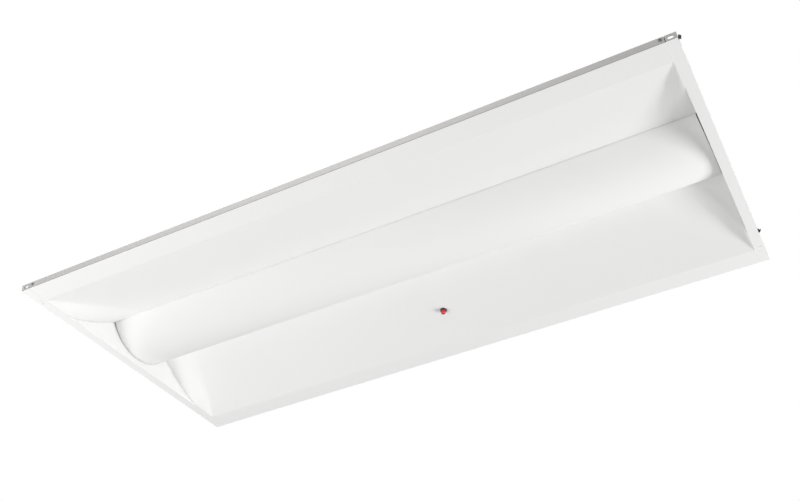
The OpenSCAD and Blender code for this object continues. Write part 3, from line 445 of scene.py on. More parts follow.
def moulded(name, colour, roughness, grain=1400.0, coat=0.0):
    """Moulded plastic: fine spark grain, flow drift, and a little wear on the grain's tops."""
    finish = Finish(name)
    spark = finish.noise(grain, 3.0)
    drift = finish.noise(25.0, 3.0)
    base = finish.mix(drift * 0.6 + spark * 0.4, toned(colour, 0.9), toned(colour, 1.1))
    return finish.surface(
        base_color=base, roughness=roughness - 0.05 + spark * 0.12, coat_weight=coat, coat_roughness=0.12,
        normal=finish.bump(spark, 0.00004, 0.35))


def opal_lens(name, colour):
    """Opal extruded lens: faint die lines along its length and milky depth."""
    finish = Finish(name)
    die_lines = finish.noise(45.0, 3.0, (0.03, 9.0, 9.0))
    drift = finish.noise(2.5, 2.0)
    base = finish.mix(drift, toned(colour, 0.985), toned(colour, 1.015))
    return finish.surface(
        base_color=base, roughness=0.56 + die_lines * 0.1, specular_ior_level=0.2,
        normal=finish.bump(die_lines, 0.00003, 0.25))


def circuit_board(name, mask, copper, traces=260.0):
    """Solder mask over traces, which show as paler lines, with tinned pads."""
    finish = Finish(name)
    grid = finish.node(
        "ShaderNodeTexVoronoi", {"feature": "DISTANCE_TO_EDGE"},
        {"Vector": finish.place(), "Scale": traces, "Randomness": 0.55})
    line = finish.ramp(grid, (0.04, 1.0), (0.09, 0.0))
    pads = finish.ramp(finish.cells(traces * 1.7), (0.10, 1.0), (0.16, 0.0))
    base = finish.mix(line * 0.45, mask, copper)
    base = finish.mix(pads, base, (0.75, 0.75, 0.72))
    return finish.surface(
        base_color=base, roughness=0.42 - line * 0.08, metallic=pads * 0.8,
        normal=finish.bump(line, 0.00005, 0.5))


def phosphor_chip(name):
    """Yellow phosphor under clear silicone."""
    finish = Finish(name)
    grain = finish.noise(2600.0, 3.0)
    base = finish.mix(grain, (0.80, 0.62, 0.12), (0.95, 0.83, 0.30))
    return finish.surface(base_color=base, roughness=0.2 + grain * 0.1, coat_weight=0.5, coat_roughness=0.1)


def insulated_wire(name, colour):
    """Extruded insulation: smooth, slightly mottled, a faint draw line."""
    finish = Finish(name)
    mottle = finish.noise(320.0, 4.0)
    base = finish.mix(mottle, toned(colour, 0.82), toned(colour, 1.15))
    return finish.surface(
        base_color=base, roughness=0.34 + mottle * 0.12, normal=finish.bump(mottle, 0.00005, 0.3))


def cell_sleeve(name):
    """Shrink sleeve on the cells: gold film with a dark end band and tight wrinkles."""
    finish = Finish(name)
    band_spacing = 0.052
    wrinkles = finish.noise(260.0, 4.0, (0.4, 1.0, 1.0))
    along = finish.node("ShaderNodeSeparateXYZ", {}, {0: finish.place()}, "X")
    band = (along * (1.0 / band_spacing)).fraction().above(0.93)
    base = finish.mix(wrinkles, (0.70, 0.47, 0.06), (0.86, 0.62, 0.12))
    base = finish.mix(band, base, (0.03, 0.03, 0.03))
    return finish.surface(
        base_color=base, roughness=0.28 + wrinkles * 0.12, normal=finish.bump(wrinkles, 0.0001, 0.4))


# Mesh making


def piece(name, bm, body, replaced, materials):
    """Makes an object from a bmesh, puts its materials on, and hands it to the frame."""
    mesh = bpy.data.meshes.new(name)
    bm.to_mesh(mesh)
    bm.free()
    made = bpy.data.objects.new(name, mesh)
    bpy.context.scene.collection.objects.link(made)
    for material in materials:
        mesh.materials.append(material)
    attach(made, body)
    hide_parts(*replaced)
    return made


def smooth_by_angle(bm, degrees):
    """Smooth faces, with edges marked sharp where the surface turns by more than the angle."""
    limit = math.radians(degrees)
    for face in bm.faces:
        face.smooth = True
    for edge in bm.edges:
        edge.smooth = edge.is_manifold and edge.calc_face_angle(0.0) < limit


def round_edges(made, width, segments=2, degrees=30.0):
    """Rounds edges sharper than the angle. Large faces set the shading, so that flats look flat."""
    bevel = made.modifiers.new("Rounded edges", "BEVEL")
    bevel.width = width
    bevel.segments = segments
    bevel.limit_method = "ANGLE"
    bevel.angle_limit = math.radians(degrees)
    shading = made.modifiers.new("Face weighted normals", "WEIGHTED_NORMAL")
    shading.keep_sharp = True


def loft(bm, rings, closed_rings=True, closed_loft=False):
    """Quads between rings of points, which all have the same count. Gives the rings' new vertices."""
    rows = [[bm.verts.new(point) for point in ring] for ring in rings]
    count = len(rows[0])
    across = count if closed_rings else count - 1
    pairs = list(zip(rows, rows[1:] + rows[:1])) if closed_loft else list(zip(rows, rows[1:]))
    for row, following in pairs:
        for k in range(across):
            m = (k + 1) % count
            bm.faces.new((row[k], row[m], following[m], following[k]))
    return rows


def lathe(profile, placed, sides=72):
    """A closed form turned from (radius, height) points about the Z axis of a matrix."""
    tiny = 1e-7
    bm = bmesh.new()
    rings = []
    for k in range(sides):
        turn = 2 * math.pi * k / sides
        rings.append([placed @ Vector((r * math.cos(turn), r * math.sin(turn), z)) for r, z in profile])
    loft(bm, rings, closed_loft=True)
    bmesh.ops.remove_doubles(bm, verts=bm.verts, dist=tiny)
    bmesh.ops.dissolve_degenerate(bm, edges=bm.edges, dist=tiny)
    bmesh.ops.recalc_face_normals(bm, faces=bm.faces)
    smooth_by_angle(bm, 35.0)
    return bm


def cad_copy(node):
    """The node's own mesh, welded, with the triangles of each flat joined into one face."""
    bm = bmesh.new()
    bm.from_mesh(NODES[node].data)
    bmesh.ops.remove_doubles(bm, verts=bm.verts, dist=WELD)
    bmesh.ops.dissolve_limit(bm, angle_limit=math.radians(0.4), verts=bm.verts, edges=bm.edges)
    smooth_by_angle(bm, 30.0)
    return bm


def softened(node, body, material_slot, material, width=0.00015, segments=2):
    """A copy of a node with its edges rounded, which stands for it."""
    made = piece(node + "_formed", cad_copy(node), body, [node], [material])
    round_edges(made, width, segments)


def wire_form(node, body, material):
    """A copy of a swept wire, subdivided until it is round."""
    bm = bmesh.new()
    bm.from_mesh(NODES[node].data)
    bmesh.ops.remove_doubles(bm, verts=bm.verts, dist=WELD)
    bmesh.ops.join_triangles(
        bm, faces=bm.faces, angle_face_threshold=math.radians(40), angle_shape_threshold=math.radians(60))
    smooth_by_angle(bm, 75.0)
    made = piece(node + "_formed", bm, body, [node], [material])
    modifier = made.modifiers.new("Round section", "SUBSURF")
    modifier.levels = 1
    modifier.render_levels = 1
    return made


def paint_node(node, material):
    """Puts a finish on a CAD node that stays as it is."""
    data = NODES[node].data
    data.materials.clear()
    data.materials.append(material)


def bezier(points, share):
    """A point on the curve with three control points."""
    a, b, c = points
    return a * (1 - share) ** 2 + b * (2 * share * (1 - share)) + c * share ** 2


class ReflectorForm:
    """The far reflector's sheet: rim, flange, slope with scooped ends, and upright beside the lens.

    Across the slope, s goes from 0 at the flange to 1 at the lens. Along a scooped end, t goes from 0 at its
    crease to 1 at the end wall.
    """

    def __init__(self, sizes):
        self.sizes = sizes
        self.half_width = min(END_PLATE[1].y, -END_PLATE[0].y)
        self.end_in = END_PLATE[1].x - sizes.end_flange
        self.side_in = self.half_width - sizes.side_flange
        self.edge = LENS[1].y + sizes.edge_gap
        self.slope_width = self.side_in - self.edge
        self.upright_top = REFLECTOR[1].z
        self.level_share = sizes.scoop_level / self.slope_width
        self.crease_lead = 0.003
        self.end_gap = 0.0003
        self.rim_gap = 0.0008

    def height(self, s):
        """Height of the slope away from its ends."""
        return self.sizes.edge_height * s + 4 * self.sizes.bow * s * (1 - s)

    def tilt(self, s):
        """Angle of the slope to the level."""
        rise = self.sizes.edge_height + 4 * self.sizes.bow * (1 - 2 * s)
        return math.atan(rise / self.slope_width)

    def scoop_end(self, s):
        """Height at which the scooped end meets the end wall."""
        if s <= self.level_share:
            return 0.0
        return self.sizes.edge_height * ((s - self.level_share) / (1 - self.level_share)) ** 1.5

    def scooped(self, s, t):
        """Height within a scooped end: it leaves the slope and reaches the end wall without a crease."""
        return self.height(s) - (self.height(s) - self.scoop_end(s)) * t * t * (3 - 2 * t)

    def along(self, s, t, z, short=0.0):
        """Place along the fixture, with the end wall's lean at height z."""
        wall = self.end_in - z * math.tan(self.sizes.end_lean) - self.end_gap - short
        crease = self.end_in - self.crease_lead - self.sizes.scoop_length * s
        return crease + t * (wall - crease)

    def on_slope(self, s, t):
        across = self.side_in - s * self.slope_width
        return Vector((self.along(s, t, self.scoop_end(s)), across, self.scooped(s, t)))

    def station(self, t):
        """Points of the visible face and of the sheet's back across one station, at share t of the scoop."""
        sizes, sheet, bend = self.sizes, self.sizes.sheet, self.sizes.bend
        slant = math.atan(sizes.edge_height / self.slope_width)
        small = bend / self.slope_width
        foot = sizes.edge_height + bend
        up, to_lens, from_lens = Vector((0, 0, sheet)), Vector((0, -sheet, 0)), Vector((0, sheet, 0))
        lift = Vector((0, 0, sheet / math.cos(slant)))
        corner_lift = Vector((0, sheet, sheet * (1 / math.cos(slant) - math.tan(slant))))

        def flat(y, z):
            short = self.rim_gap if y > self.half_width - bend / 2 else 0.0
            return Vector((self.along(0, t, z, short), y, z))

        def upright(z):
            return Vector((self.along(1, t, z), self.edge, z))

        folds = [
            ([flat(self.half_width, bend), flat(self.half_width, 0), flat(self.half_width - bend, 0)],
             [to_lens, to_lens + up, up], 6),
            ([flat(self.side_in + bend, 0), self.on_slope(0, t), self.on_slope(small, t)],
             [up, up, lift], 4),
            ([self.on_slope(1 - small, t), self.on_slope(1, t), upright(foot)],
             [lift, corner_lift, from_lens], 6),
        ]
        curves = [
            [(bezier(face, k / n), bezier(back, k / n)) for k in range(n + 1)] for face, back, n in folds]
        rim = [(flat(self.half_width, sizes.rim_height * k + bend * (1 - k)), to_lens) for k in (1.0, 0.5)]
        level = sizes.side_flange - 2 * bend
        flange = [(flat(self.side_in + bend + level * k, 0), up) for k in (0.75, 0.5, 0.25)]
        rows = sizes.slope_rows
        slope = [(self.on_slope(small + (1 - 2 * small) * k / rows, t), lift) for k in range(1, rows)]
        top = [(upright(self.upright_top * k + foot * (1 - k)), from_lens) for k in (0.5, 1.0)]
        points = rim + curves[0] + flange + curves[1] + slope + curves[2] + top
        return [p for p, _ in points], [p + step for p, step in points]

    def build(self, side):
        """The whole sheet as a closed bmesh, side 1 for the far one and -1 for the near one."""
        steps, middle_parts = self.sizes.scoop_steps, 12
        shares = [k / steps for k in range(steps + 1)]
        rings = []
        for end, t in [(-1, 1 - share) for share in shares] + [(1, share) for share in shares]:
            face, back = self.station(t)
            rings.append([Vector((end * p.x, side * p.y, p.z)) for p in face + back[::-1]])
        left, right = rings[steps:steps + 2]
        middles = [
            [a.lerp(b, k / middle_parts) for a, b in zip(left, right)] for k in range(1, middle_parts)]
        bm = bmesh.new()
        rows = loft(bm, rings[:steps + 1] + middles + rings[steps + 1:])
        for row in (rows[0], rows[-1]):
            for k in range(len(row) // 2 - 1):
                bm.faces.new((row[k], row[k + 1], row[-k - 2], row[-k - 1]))
        bmesh.ops.recalc_face_normals(bm, faces=bm.faces)
        smooth_by_angle(bm, 32.0)
        return bm

    def paint(self, bm):
        """Material 1 on the sheet's hidden side and 2, a grey of painted shade, on the outside of the rim.
        """
        rim_skin = 0.0003
        for face in bm.faces:
            centre, normal = face.calc_center_median(), face.normal
            depth, outward = abs(centre.y), centre.y * normal.y
            # The rim's outer face gets the grey of painted shade.
            if depth > self.half_width - rim_skin and abs(normal.y) > 0.6:
                face.material_index = 2
            elif depth > self.half_width - 2 * self.sizes.bend:
                face.material_index = 1 if normal.z > 0.3 or outward < 0 else 0
            else:
                on_upright = depth < self.edge + self.sizes.sheet + PLAY
                hidden = outward > 0 if on_upright else normal.z > 0.2
                face.material_index = 1 if hidden else 0

    def switch_frame(self, switch):
        """Frame on the visible face at the test switch: Z goes up through the sheet."""
        share = (self.side_in - switch.across) / self.slope_width
        place = Matrix.Translation((switch.along, switch.across, self.height(share)))
        return place @ Matrix.Rotation(-self.tilt(share), 4, "X")


def punch(made, cutters):
    """Cuts holes through a piece with round cutters, and keeps the result as its mesh."""
    sides = 28
    bm = bmesh.new()
    for placed, radius, length in cutters:
        bmesh.ops.create_cone(
            bm, cap_ends=True, segments=sides, radius1=radius, radius2=radius, depth=length, matrix=placed)
    mesh = bpy.data.meshes.new(made.name + "_cutter")
    bm.to_mesh(mesh)
    bm.free()
    cutter = bpy.data.objects.new(mesh.name, mesh)
    bpy.context.scene.collection.objects.link(cutter)
    modifier = made.modifiers.new("Punched holes", "BOOLEAN")
    modifier.operation = "DIFFERENCE"
    modifier.solver = "EXACT"
    modifier.object = cutter
    bpy.context.view_layer.update()
    evaluated = made.evaluated_get(bpy.context.evaluated_depsgraph_get())
    cut = bpy.data.meshes.new_from_object(evaluated)
    made.modifiers.clear()
    made.data = cut
    bpy.data.objects.remove(cutter)
    bpy.data.meshes.remove(mesh)


def arc_outline(radius, centre_z, half_width, steps):
    """Points (y, z) of the lower arc between two sides, from the -Y side to the +Y side."""
    reach = math.asin(half_width / radius)
    angles = [-reach + 2 * reach * k / steps for k in range(steps + 1)]
    return [(radius * math.sin(a), centre_z - radius * math.cos(a)) for a in angles]


class LensForm:
    """The bowed lens and its end caps, from the frame's own box."""

    def __init__(self, sizes):
        self.sizes = sizes
        self.half_width = LENS[1].y
        self.bottom = LENS[0].z
        self.lip_top = LENS[1].z
        self.rim = self.lip_top - sizes.lip_height
        depth = self.rim - self.bottom
        self.end_slope = sizes.end_step / depth
        self.half_length = LENS[1].x - sizes.end_step
        self.radius = (depth ** 2 + self.half_width ** 2) / (2 * depth)
        self.centre = self.bottom + self.radius

    def end_at(self, z):
        """Half the lens's length at a height: it is longest at the bottom of its bow."""
        return self.half_length + self.end_slope * max(0.0, self.rim - z)

    def section(self, inset):
        """Outline of the lens section, drawn in by an amount all round."""
        s, soft = self.sizes, 0.0002
        top, lip_out, lip_in = self.lip_top - inset, self.half_width - inset, self.half_width - s.lip + inset
        outer = arc_outline(self.radius - inset, self.centre, lip_out, s.arc_steps)
        inner = arc_outline(self.radius - s.wall + inset, self.centre, lip_in, s.arc_steps)
        right = [(lip_out, top - soft), (lip_out - soft, top), (lip_in + soft, top), (lip_in, top - soft)]
        left = [(-y, z) for y, z in reversed(right)]
        return outer + right + inner[::-1] + left

    def build(self):
        """The lens as a closed bmesh."""
        r = self.sizes.edge_round
        rounding = [(0.0, r), (ROUND_SHARE * r, ROUND_SHARE * r), (r, 0.0)]
        rings = []
        for end, back, inset in [(-1, *step) for step in rounding] + [(1, *step) for step in rounding[::-1]]:
            rings.append([Vector((end * (self.end_at(z) - back), y, z)) for y, z in self.section(inset)])
        bm = bmesh.new()
        rows = loft(bm, rings)
        arc = self.sizes.arc_steps + 1
        for row in (rows[0], rows[-1]):
            outer, right = row[:arc], row[arc:arc + 4]
            inner, left = row[arc + 4:2 * arc + 4], row[2 * arc + 4:]
            for k in range(arc - 1):
                bm.faces.new((outer[k], outer[k + 1], inner[-k - 2], inner[-k - 1]))
            bm.faces.new((outer[-1], *right, inner[0]))
            bm.faces.new((inner[-1], *left, outer[0]))
        bmesh.ops.recalc_face_normals(bm, faces=bm.faces)
        smooth_by_angle(bm, 40.0)
        return bm

    def cap(self, end, pin_y, pin_z, pin_radius, pin_end):
        """Plate, skirt and pivot stub of one end cap."""
        s = self.sizes
        radius = self.radius - s.wall - s.glue_gap
        half = self.half_width - s.lip - s.glue_gap
        skirt_wall, skirt_reach, soft, weld = 0.0015, 0.006, 0.0003, 1e-6
        pin_sides, pin_chamfer, pin_tip = 24, 0.0004, 0.75
        face = self.half_length
        inner = face - s.cap
        bm = bmesh.new()

        def outline(inset):
            arc = arc_outline(radius - inset, self.centre, half - inset, s.arc_steps)
            return [(-half + inset, self.lip_top - inset)] + arc + [(half - inset, self.lip_top - inset)]

        middle = ROUND_SHARE * soft
        rings = [(face, soft), (face - middle, middle), (face - soft, 0.0), (inner, 0.0)]
        rows = loft(bm, [[Vector((end * x, y, z)) for y, z in outline(inset)] for x, inset in rings])
        bm.faces.new(rows[0])
        bm.faces.new(rows[-1])
        arcs = [arc_outline(r, self.centre, half, s.arc_steps) for r in (radius, radius - skirt_wall)]
        far, near = (
            [[Vector((end * x, y, z)) for y, z in arc] for arc in arcs]
            for x in (inner - skirt_reach, inner))
        skirt = [far[0], near[0], near[1], far[1]]
        loft(bm, skirt, closed_rings=False, closed_loft=True)
        # This closes the skirt at the lens's +Y edge. At its -Y edge the skirt is open.
        bm.faces.new([bm.verts.new(row[-1]) for row in skirt])
        turns = [2 * math.pi * k / pin_sides for k in range(pin_sides)]
        pin = [(pin_radius * math.cos(a), pin_radius * math.sin(a)) for a in turns]
        stations = [(inner + PLAY, 1.0), (pin_end - pin_chamfer, 1.0), (pin_end, pin_tip)]
        rows = loft(bm, [
            [Vector((end * x, pin_y + y * share, pin_z + z * share)) for y, z in pin]
            for x, share in stations])
        bm.faces.new(rows[0])
        bm.faces.new(rows[-1])
        bmesh.ops.remove_doubles(bm, verts=bm.verts, dist=weld)
        bmesh.ops.recalc_face_normals(bm, faces=bm.faces)
        smooth_by_angle(bm, 40.0)
        return bm


# Operators


def finishes(context):
    """Materials by name, made once for the scene."""
    c = context.scene.troffer_finish
    made = {m.name: m for m in bpy.data.materials}
    if "white_paint" in made:
        return made
    powder_coat("white_paint", tuple(c.paint), c.gloss)
    powder_coat("tray_paint", toned(c.paint, 0.97), 0.45)
    powder_coat("red_paint", (0.42, 0.028, 0.02), 0.42, 0.3)
    backing_coat("backing_coat", tuple(c.backing))
    # The rim grey is painted shade.
    rim_painted_shade("rim_coat", tuple(c.rim_shade_grey))
    # Near-black for the end plates' corner ears and the right plate's sheared edges: painted shade of the
    # corner seams and the slit, over edges that are partly bare steel.
    plated("bare_edge", (0.030, 0.029, 0.028), 0.3)
    plated("dull_zinc", (0.19, 0.19, 0.185), 0.6)
    galvanised("galvanised_sheet", tuple(c.zinc))
    galvanised("galvanised_case", toned(c.zinc, 0.94), 110.0)
    plated("zinc_plate", (0.62, 0.62, 0.60))
    plated("spring_wire", (0.55, 0.55, 0.54))
    plated("brass_plate", (0.66, 0.47, 0.17))
    plated("green_plate", (0.03, 0.22, 0.07), 0.5)
    plated("black_spring_steel", (0.022, 0.021, 0.020), 0.3)
    moulded("black_plastic", (0.018, 0.018, 0.018), 0.42)
    moulded("grey_plastic", (0.17, 0.175, 0.18), 0.5)
    moulded("white_plastic", (0.80, 0.80, 0.775), 0.45)
    moulded("ivory_plastic", (0.72, 0.68, 0.55), 0.45)
    moulded("button_red", tuple(c.button_red), 0.26, 1800.0, 0.6)
    opal_lens("opal_lens", tuple(c.diffuser))
    circuit_board("white_board", (0.78, 0.79, 0.78), (0.86, 0.87, 0.86), 190.0)
    circuit_board("green_board", (0.012, 0.12, 0.035), (0.03, 0.26, 0.08))
    phosphor_chip("phosphor_chip")
    cell_sleeve("cell_sleeve")
    wires = {
        "black_wire": (0.015, 0.015, 0.015),
        "white_wire": (0.75, 0.75, 0.73),
        "green_wire": (0.02, 0.25, 0.05),
        "red_wire": (0.45, 0.02, 0.015),
        "yellow_wire": (0.72, 0.48, 0.03),
        "violet_wire": (0.12, 0.03, 0.26),
    }
    for name, colour in wires.items():
        insulated_wire(name, colour)
    return {m.name: m for m in bpy.data.materials}


def soften_all(context, rows, body=FIXTURE):
    """Softened copies of nodes, from rows of node, material slot (not used), finish and any special
    rounding.
    """
    paints = finishes(context)
    for node, material_slot, finish, *rounding in rows:
        softened(node, body, material_slot, paints[finish], *rounding)


class TROFFER_OT_reflectors(bpy.types.Operator):
    """Make both reflector sheets, with rounded folds, scooped ends and punched holes"""

    bl_idname = "troffer.reflectors"
    bl_label = "Reflectors"

    def execute(self, context):
        paints = finishes(context)
        form = ReflectorForm(context.scene.troffer_reflectors)
        # The third finish, the rim grey, is painted shade.
        coats = [paints[name] for name in ("white_paint", "backing_coat", "rim_coat")]
        rivet_inset, rivet_height, rivet_radius, rim_cut = 0.003, 0.008, 0.0018, 0.004
        screw_inset, screw_radius, upright_cut = 0.004, 0.0021, 0.005
        switch_radius, slope_cut = 0.0052, 0.006
        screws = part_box("side_screws")
        rivet_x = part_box("corner_rivets")[1].x - rivet_inset
        screw_x = screws[1].x - screw_inset
        screw_z = (screws[0].z + screws[1].z) / 2
        turn = Matrix.Rotation(math.radians(90), 4, "X")
        for name, side in (("reflector_near", -1), ("reflector_far", 1)):
            bm = form.build(side)
            form.paint(bm)
            sheet = piece(name + "_sheet", bm, FIXTURE, [name], coats)
            holes = [((x, side * form.half_width, rivet_height), rivet_radius, rim_cut)
                     for x in (-rivet_x, rivet_x)]
            holes += [((screw_x * k / 3, side * form.edge, screw_z), screw_radius, upright_cut)
                      for k in (-3, -1, 1, 3)]
            cutters = [(Matrix.Translation(place) @ turn, radius, length) for place, radius, length in holes]
            if side > 0:
                cutters.append((form.switch_frame(context.scene.troffer_switch), switch_radius, slope_cut))
            punch(sheet, cutters)
            round_edges(sheet, 0.00035, 2, 70.0)
        return {"FINISHED"}


def end_plate_coat(face, end, sheet):
    """Material of a face: 0 paint, 1 backing coat, 2 rim grey (painted shade) outside a wrapped corner, 3
    near-black painted shade on the ears and the right plate's bare sheared edges.
    """
    centre, normal = face.calc_center_median(), face.normal
    ear, outside, fold = END_PLATE[1].y - 2 * sheet, END_PLATE[1].x, 0.002
    # Corner ears: rim grey on the outer face and near-black elsewhere, both painted shade of the corner
    # seam.
    if abs(centre.y) > ear and centre.z > sheet:
        return 2 if abs(centre.y) > ear + sheet and abs(normal.y) > 0.9 else 3
    # Only the right plate's sheared edges are near-black: bare steel darkened into painted shade of its
    # slit. The left plate's stay painted.
    sheared = 0.1 * sheet < centre.z < 0.9 * sheet and abs(normal.z) < 0.3
    if sheared and end > 0 and abs(centre.y) < ear and abs(centre.x) < outside - sheet:
        return 3
    return 1 if normal.z > 0.5 or (end * normal.x > 0.5 and abs(centre.x) < outside - fold) else 0


class TROFFER_OT_end_plates(bpy.types.Operator):
    """Make both end plates with their corner rivets and end screws"""

    bl_idname = "troffer.end_plates"
    bl_label = "End plates"

    def execute(self, context):
        paints = finishes(context)
        # The rim grey and the near-black finishes are painted shade.
        coats = [paints[name] for name in ("white_paint", "backing_coat", "rim_coat", "bare_edge")]
        sheet = context.scene.troffer_reflectors.sheet
        for name, end in (("end_plate_right", 1), ("end_plate_left", -1)):
            bm = cad_copy(name)
            for face in bm.faces:
                face.material_index = end_plate_coat(face, end, sheet)
            round_edges(piece(name + "_sheet", bm, FIXTURE, [name], coats), 0.0004, 3)
        soften_all(context, (
            ("corner_rivets", "zinc_fastener", "dull_zinc", 0.00025),
            ("end_screws", "zinc_fastener", "zinc_plate", 0.0003),
        ))
        return {"FINISHED"}


class TROFFER_OT_grid_clips(bpy.types.Operator):
    """Make the four swinging grid clips and their studs"""

    bl_idname = "troffer.grid_clips"
    bl_label = "Grid clips"

    def execute(self, context):
        for place in ("near_right", "far_right", "near_left", "far_left"):
            clip = ("clip_" + place, "black_spring_steel", "black_spring_steel")
            soften_all(context, (clip,), place + "_clip")
        soften_all(context, (("clip_pivot_studs", "zinc_fastener", "zinc_plate", 0.0002),))
        return {"FINISHED"}


class TROFFER_OT_lens(bpy.types.Operator):
    """Make the bowed lens with its end caps, and the brackets and catches that hold it"""

    bl_idname = "troffer.lens"
    bl_label = "Lens"

    def execute(self, context):
        paints = finishes(context)
        form = LensForm(context.scene.troffer_lens)
        piece("lens_bow", form.build(), LENS_DOOR, ["lens"], [paints["opal_lens"]])
        hinge = next(j for j in FRAME["joints"] if j["name"] == "lens_swing")
        _, pin_y, pin_z = hinge["pos_m"]
        pin_radius = 0.0015
        for name, end in (("lens_cap_right", 1), ("lens_cap_left", -1)):
            pin_end = max(abs(corner.x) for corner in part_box(name))
            bm = form.cap(end, pin_y, pin_z, pin_radius, pin_end)
            piece(name + "_plate", bm, LENS_DOOR, [name], [paints["white_plastic"]])
        soften_all(context, (
            ("lens_pivot_brackets", "white_steel", "white_paint"),
            ("lens_catches", "zinc_fastener", "zinc_plate", 0.0001),
        ))
        return {"FINISHED"}


def switch_body_profile(s):
    """Points (radius, height) round the switch body: collar, thread and the hollow for cap and spring."""
    gap, bore, collar = 0.00005, s.cap_radius + 0.00006, s.collar_radius
    seat, low = -gap, -s.collar_height - gap
    thread, root, pitch, top = 0.005, 0.0047, 0.001, 0.010
    stem, hollow, shelf = 0.00246, 0.004, 0.0018
    profile = [
        (bore, low + 0.0002), (bore + 0.0002, low), (collar - 0.0012, low), (collar - 0.0008, low + 0.0001),
        (collar - 0.0006, low + 0.0004), (collar - 0.0001, seat - 0.0004), (collar, seat - 0.0002),
        (collar, seat), (root, seat)]
    turn = 0.0015
    while turn + pitch < top:
        profile += [(root, turn), (thread, turn + 0.4 * pitch), (thread, turn + 0.6 * pitch)]
        turn += pitch
    return profile + [
        (root, top - 0.0002), (root - 0.0002, top), (hollow, top), (hollow, shelf), (stem, shelf),
        (stem, SWITCH_RECESS), (bore, SWITCH_RECESS)]


def button_profile(s):
    """Points (radius, height) round the red cap: rounded tip, side, stem, and the head that keeps it in."""
    r, tip, top = s.cap_radius, -s.collar_height - s.cap_reach, SWITCH_RECESS - s.travel - 0.0002
    stem, head, head_low, head_top, soft = 0.0024, 0.0036, 0.0020, 0.0030, 0.0002
    return [
        (0.0, tip + 0.00012), (r * 0.45, tip + 0.00005), (r - 0.0013, tip), (r - 0.0006, tip + 0.00018),
        (r - soft, tip + 0.0006), (r, tip + 0.0013), (r, top - soft), (r - soft, top),
        (stem, top), (stem, head_low), (head - soft, head_low), (head, head_low + soft),
        (head, head_top - soft), (head - soft, head_top), (0.0, head_top)]


class TROFFER_OT_test_switch(bpy.types.Operator):
    """Make the test switch: threaded body with its collar, red cap, nut, base, terminals and spring"""

    bl_idname = "troffer.test_switch"
    bl_label = "Test switch"

    def execute(self, context):
        paints = finishes(context)
        s = context.scene.troffer_switch
        frame = ReflectorForm(context.scene.troffer_reflectors).switch_frame(s)
        piece("switch_body_form", lathe(switch_body_profile(s), frame), FIXTURE, ["switch_body"],
              [paints["black_plastic"]])
        piece("test_button_form", lathe(button_profile(s), frame), BUTTON, ["test_button"],
              [paints["button_red"]])
        soften_all(context, (
            ("switch_nut", "zinc_fastener", "zinc_plate", 0.0003),
            ("switch_base", "black_plastic", "black_plastic"),
            ("switch_terminals", "brass_screw", "brass_plate", 0.0001),
        ))
        coil = wire_form("button_spring", FIXTURE, paints["spring_wire"])
        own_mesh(coil)
        return {"FINISHED"}


class TROFFER_OT_housing(bpy.types.Operator):
    """Make the channel over the gear with its screws, plugs and bushing"""

    bl_idname = "troffer.housing"
    bl_label = "Housing"

    def execute(self, context):
        soften_all(context, (
            ("housing_channel", "galvanised_steel", "galvanised_sheet", 0.0006, 3),
            ("side_screws", "zinc_fastener", "zinc_plate", 0.0003),
            ("entry_plugs", "grey_plastic", "grey_plastic", 0.0004),
            ("lead_bushing", "black_plastic", "black_plastic", 0.0003),
        ))
        return {"FINISHED"}


class TROFFER_OT_access(bpy.types.Operator):
    """Make the hinged access plate, its hinge and its captive screw"""

    bl_idname = "troffer.access"
    bl_label = "Access plate"

    def execute(self, context):
        soften_all(context, (
            ("access_plate", "galvanised_steel", "galvanised_sheet", 0.0003),
            ("access_screw", "zinc_fastener", "zinc_plate", 0.0003),
        ), ACCESS_DOOR)
        soften_all(context, (
            ("access_hinge_leaf", "galvanised_steel", "galvanised_case", 0.0002),
            ("access_hinge_pin", "zinc_fastener", "zinc_plate", 0.0002),
        ))
        return {"FINISHED"}


class TROFFER_OT_light_boards(bpy.types.Operator):
    """Make the gear tray with the light boards, chips, screws, connectors and grommet"""

    bl_idname = "troffer.light_boards"
    bl_label = "Light boards"

    def execute(self, context):
        soften_all(context, (
            ("gear_tray", "white_steel", "tray_paint", 0.0003),
            ("light_boards", "white_board", "white_board", 0.0001),
            ("board_screws", "zinc_fastener", "zinc_plate", 0.0002),
            ("board_connectors", "white_plastic", "ivory_plastic", 0.0002),
            ("tray_grommet", "black_plastic", "black_plastic", 0.0003),
        ))
        paint_node("light_chips", finishes(context)["phosphor_chip"])
        return {"FINISHED"}


class TROFFER_OT_driver(bpy.types.Operator):
    """Make the driver: case, cover, circuit and screws"""

    bl_idname = "troffer.driver"
    bl_label = "Driver"

    def execute(self, context):
        soften_all(context, (
            ("driver_case", "galvanised_steel", "galvanised_case", 0.0003),
            ("driver_cover", "white_steel", "white_paint", 0.0005, 3),
            ("driver_circuit", "green_board", "green_board", 0.0002),
            ("driver_screws", "zinc_fastener", "zinc_plate", 0.0003),
        ))
        return {"FINISHED"}


class TROFFER_OT_battery(bpy.types.Operator):
    """Make the emergency battery pack: case, cover, cells, charger circuit and screws"""

    bl_idname = "troffer.battery"
    bl_label = "Battery pack"

    def execute(self, context):
        soften_all(context, (
            ("battery_case", "galvanised_steel", "galvanised_case", 0.0003),
            ("battery_cover", "red_steel", "red_paint", 0.0005, 3),
            ("battery_cells", "cell_wrap", "cell_sleeve", 0.0008, 3),
            ("charger_circuit", "green_board", "green_board", 0.0002),
            ("battery_screws", "zinc_fastener", "zinc_plate", 0.0003),
        ))
        return {"FINISHED"}


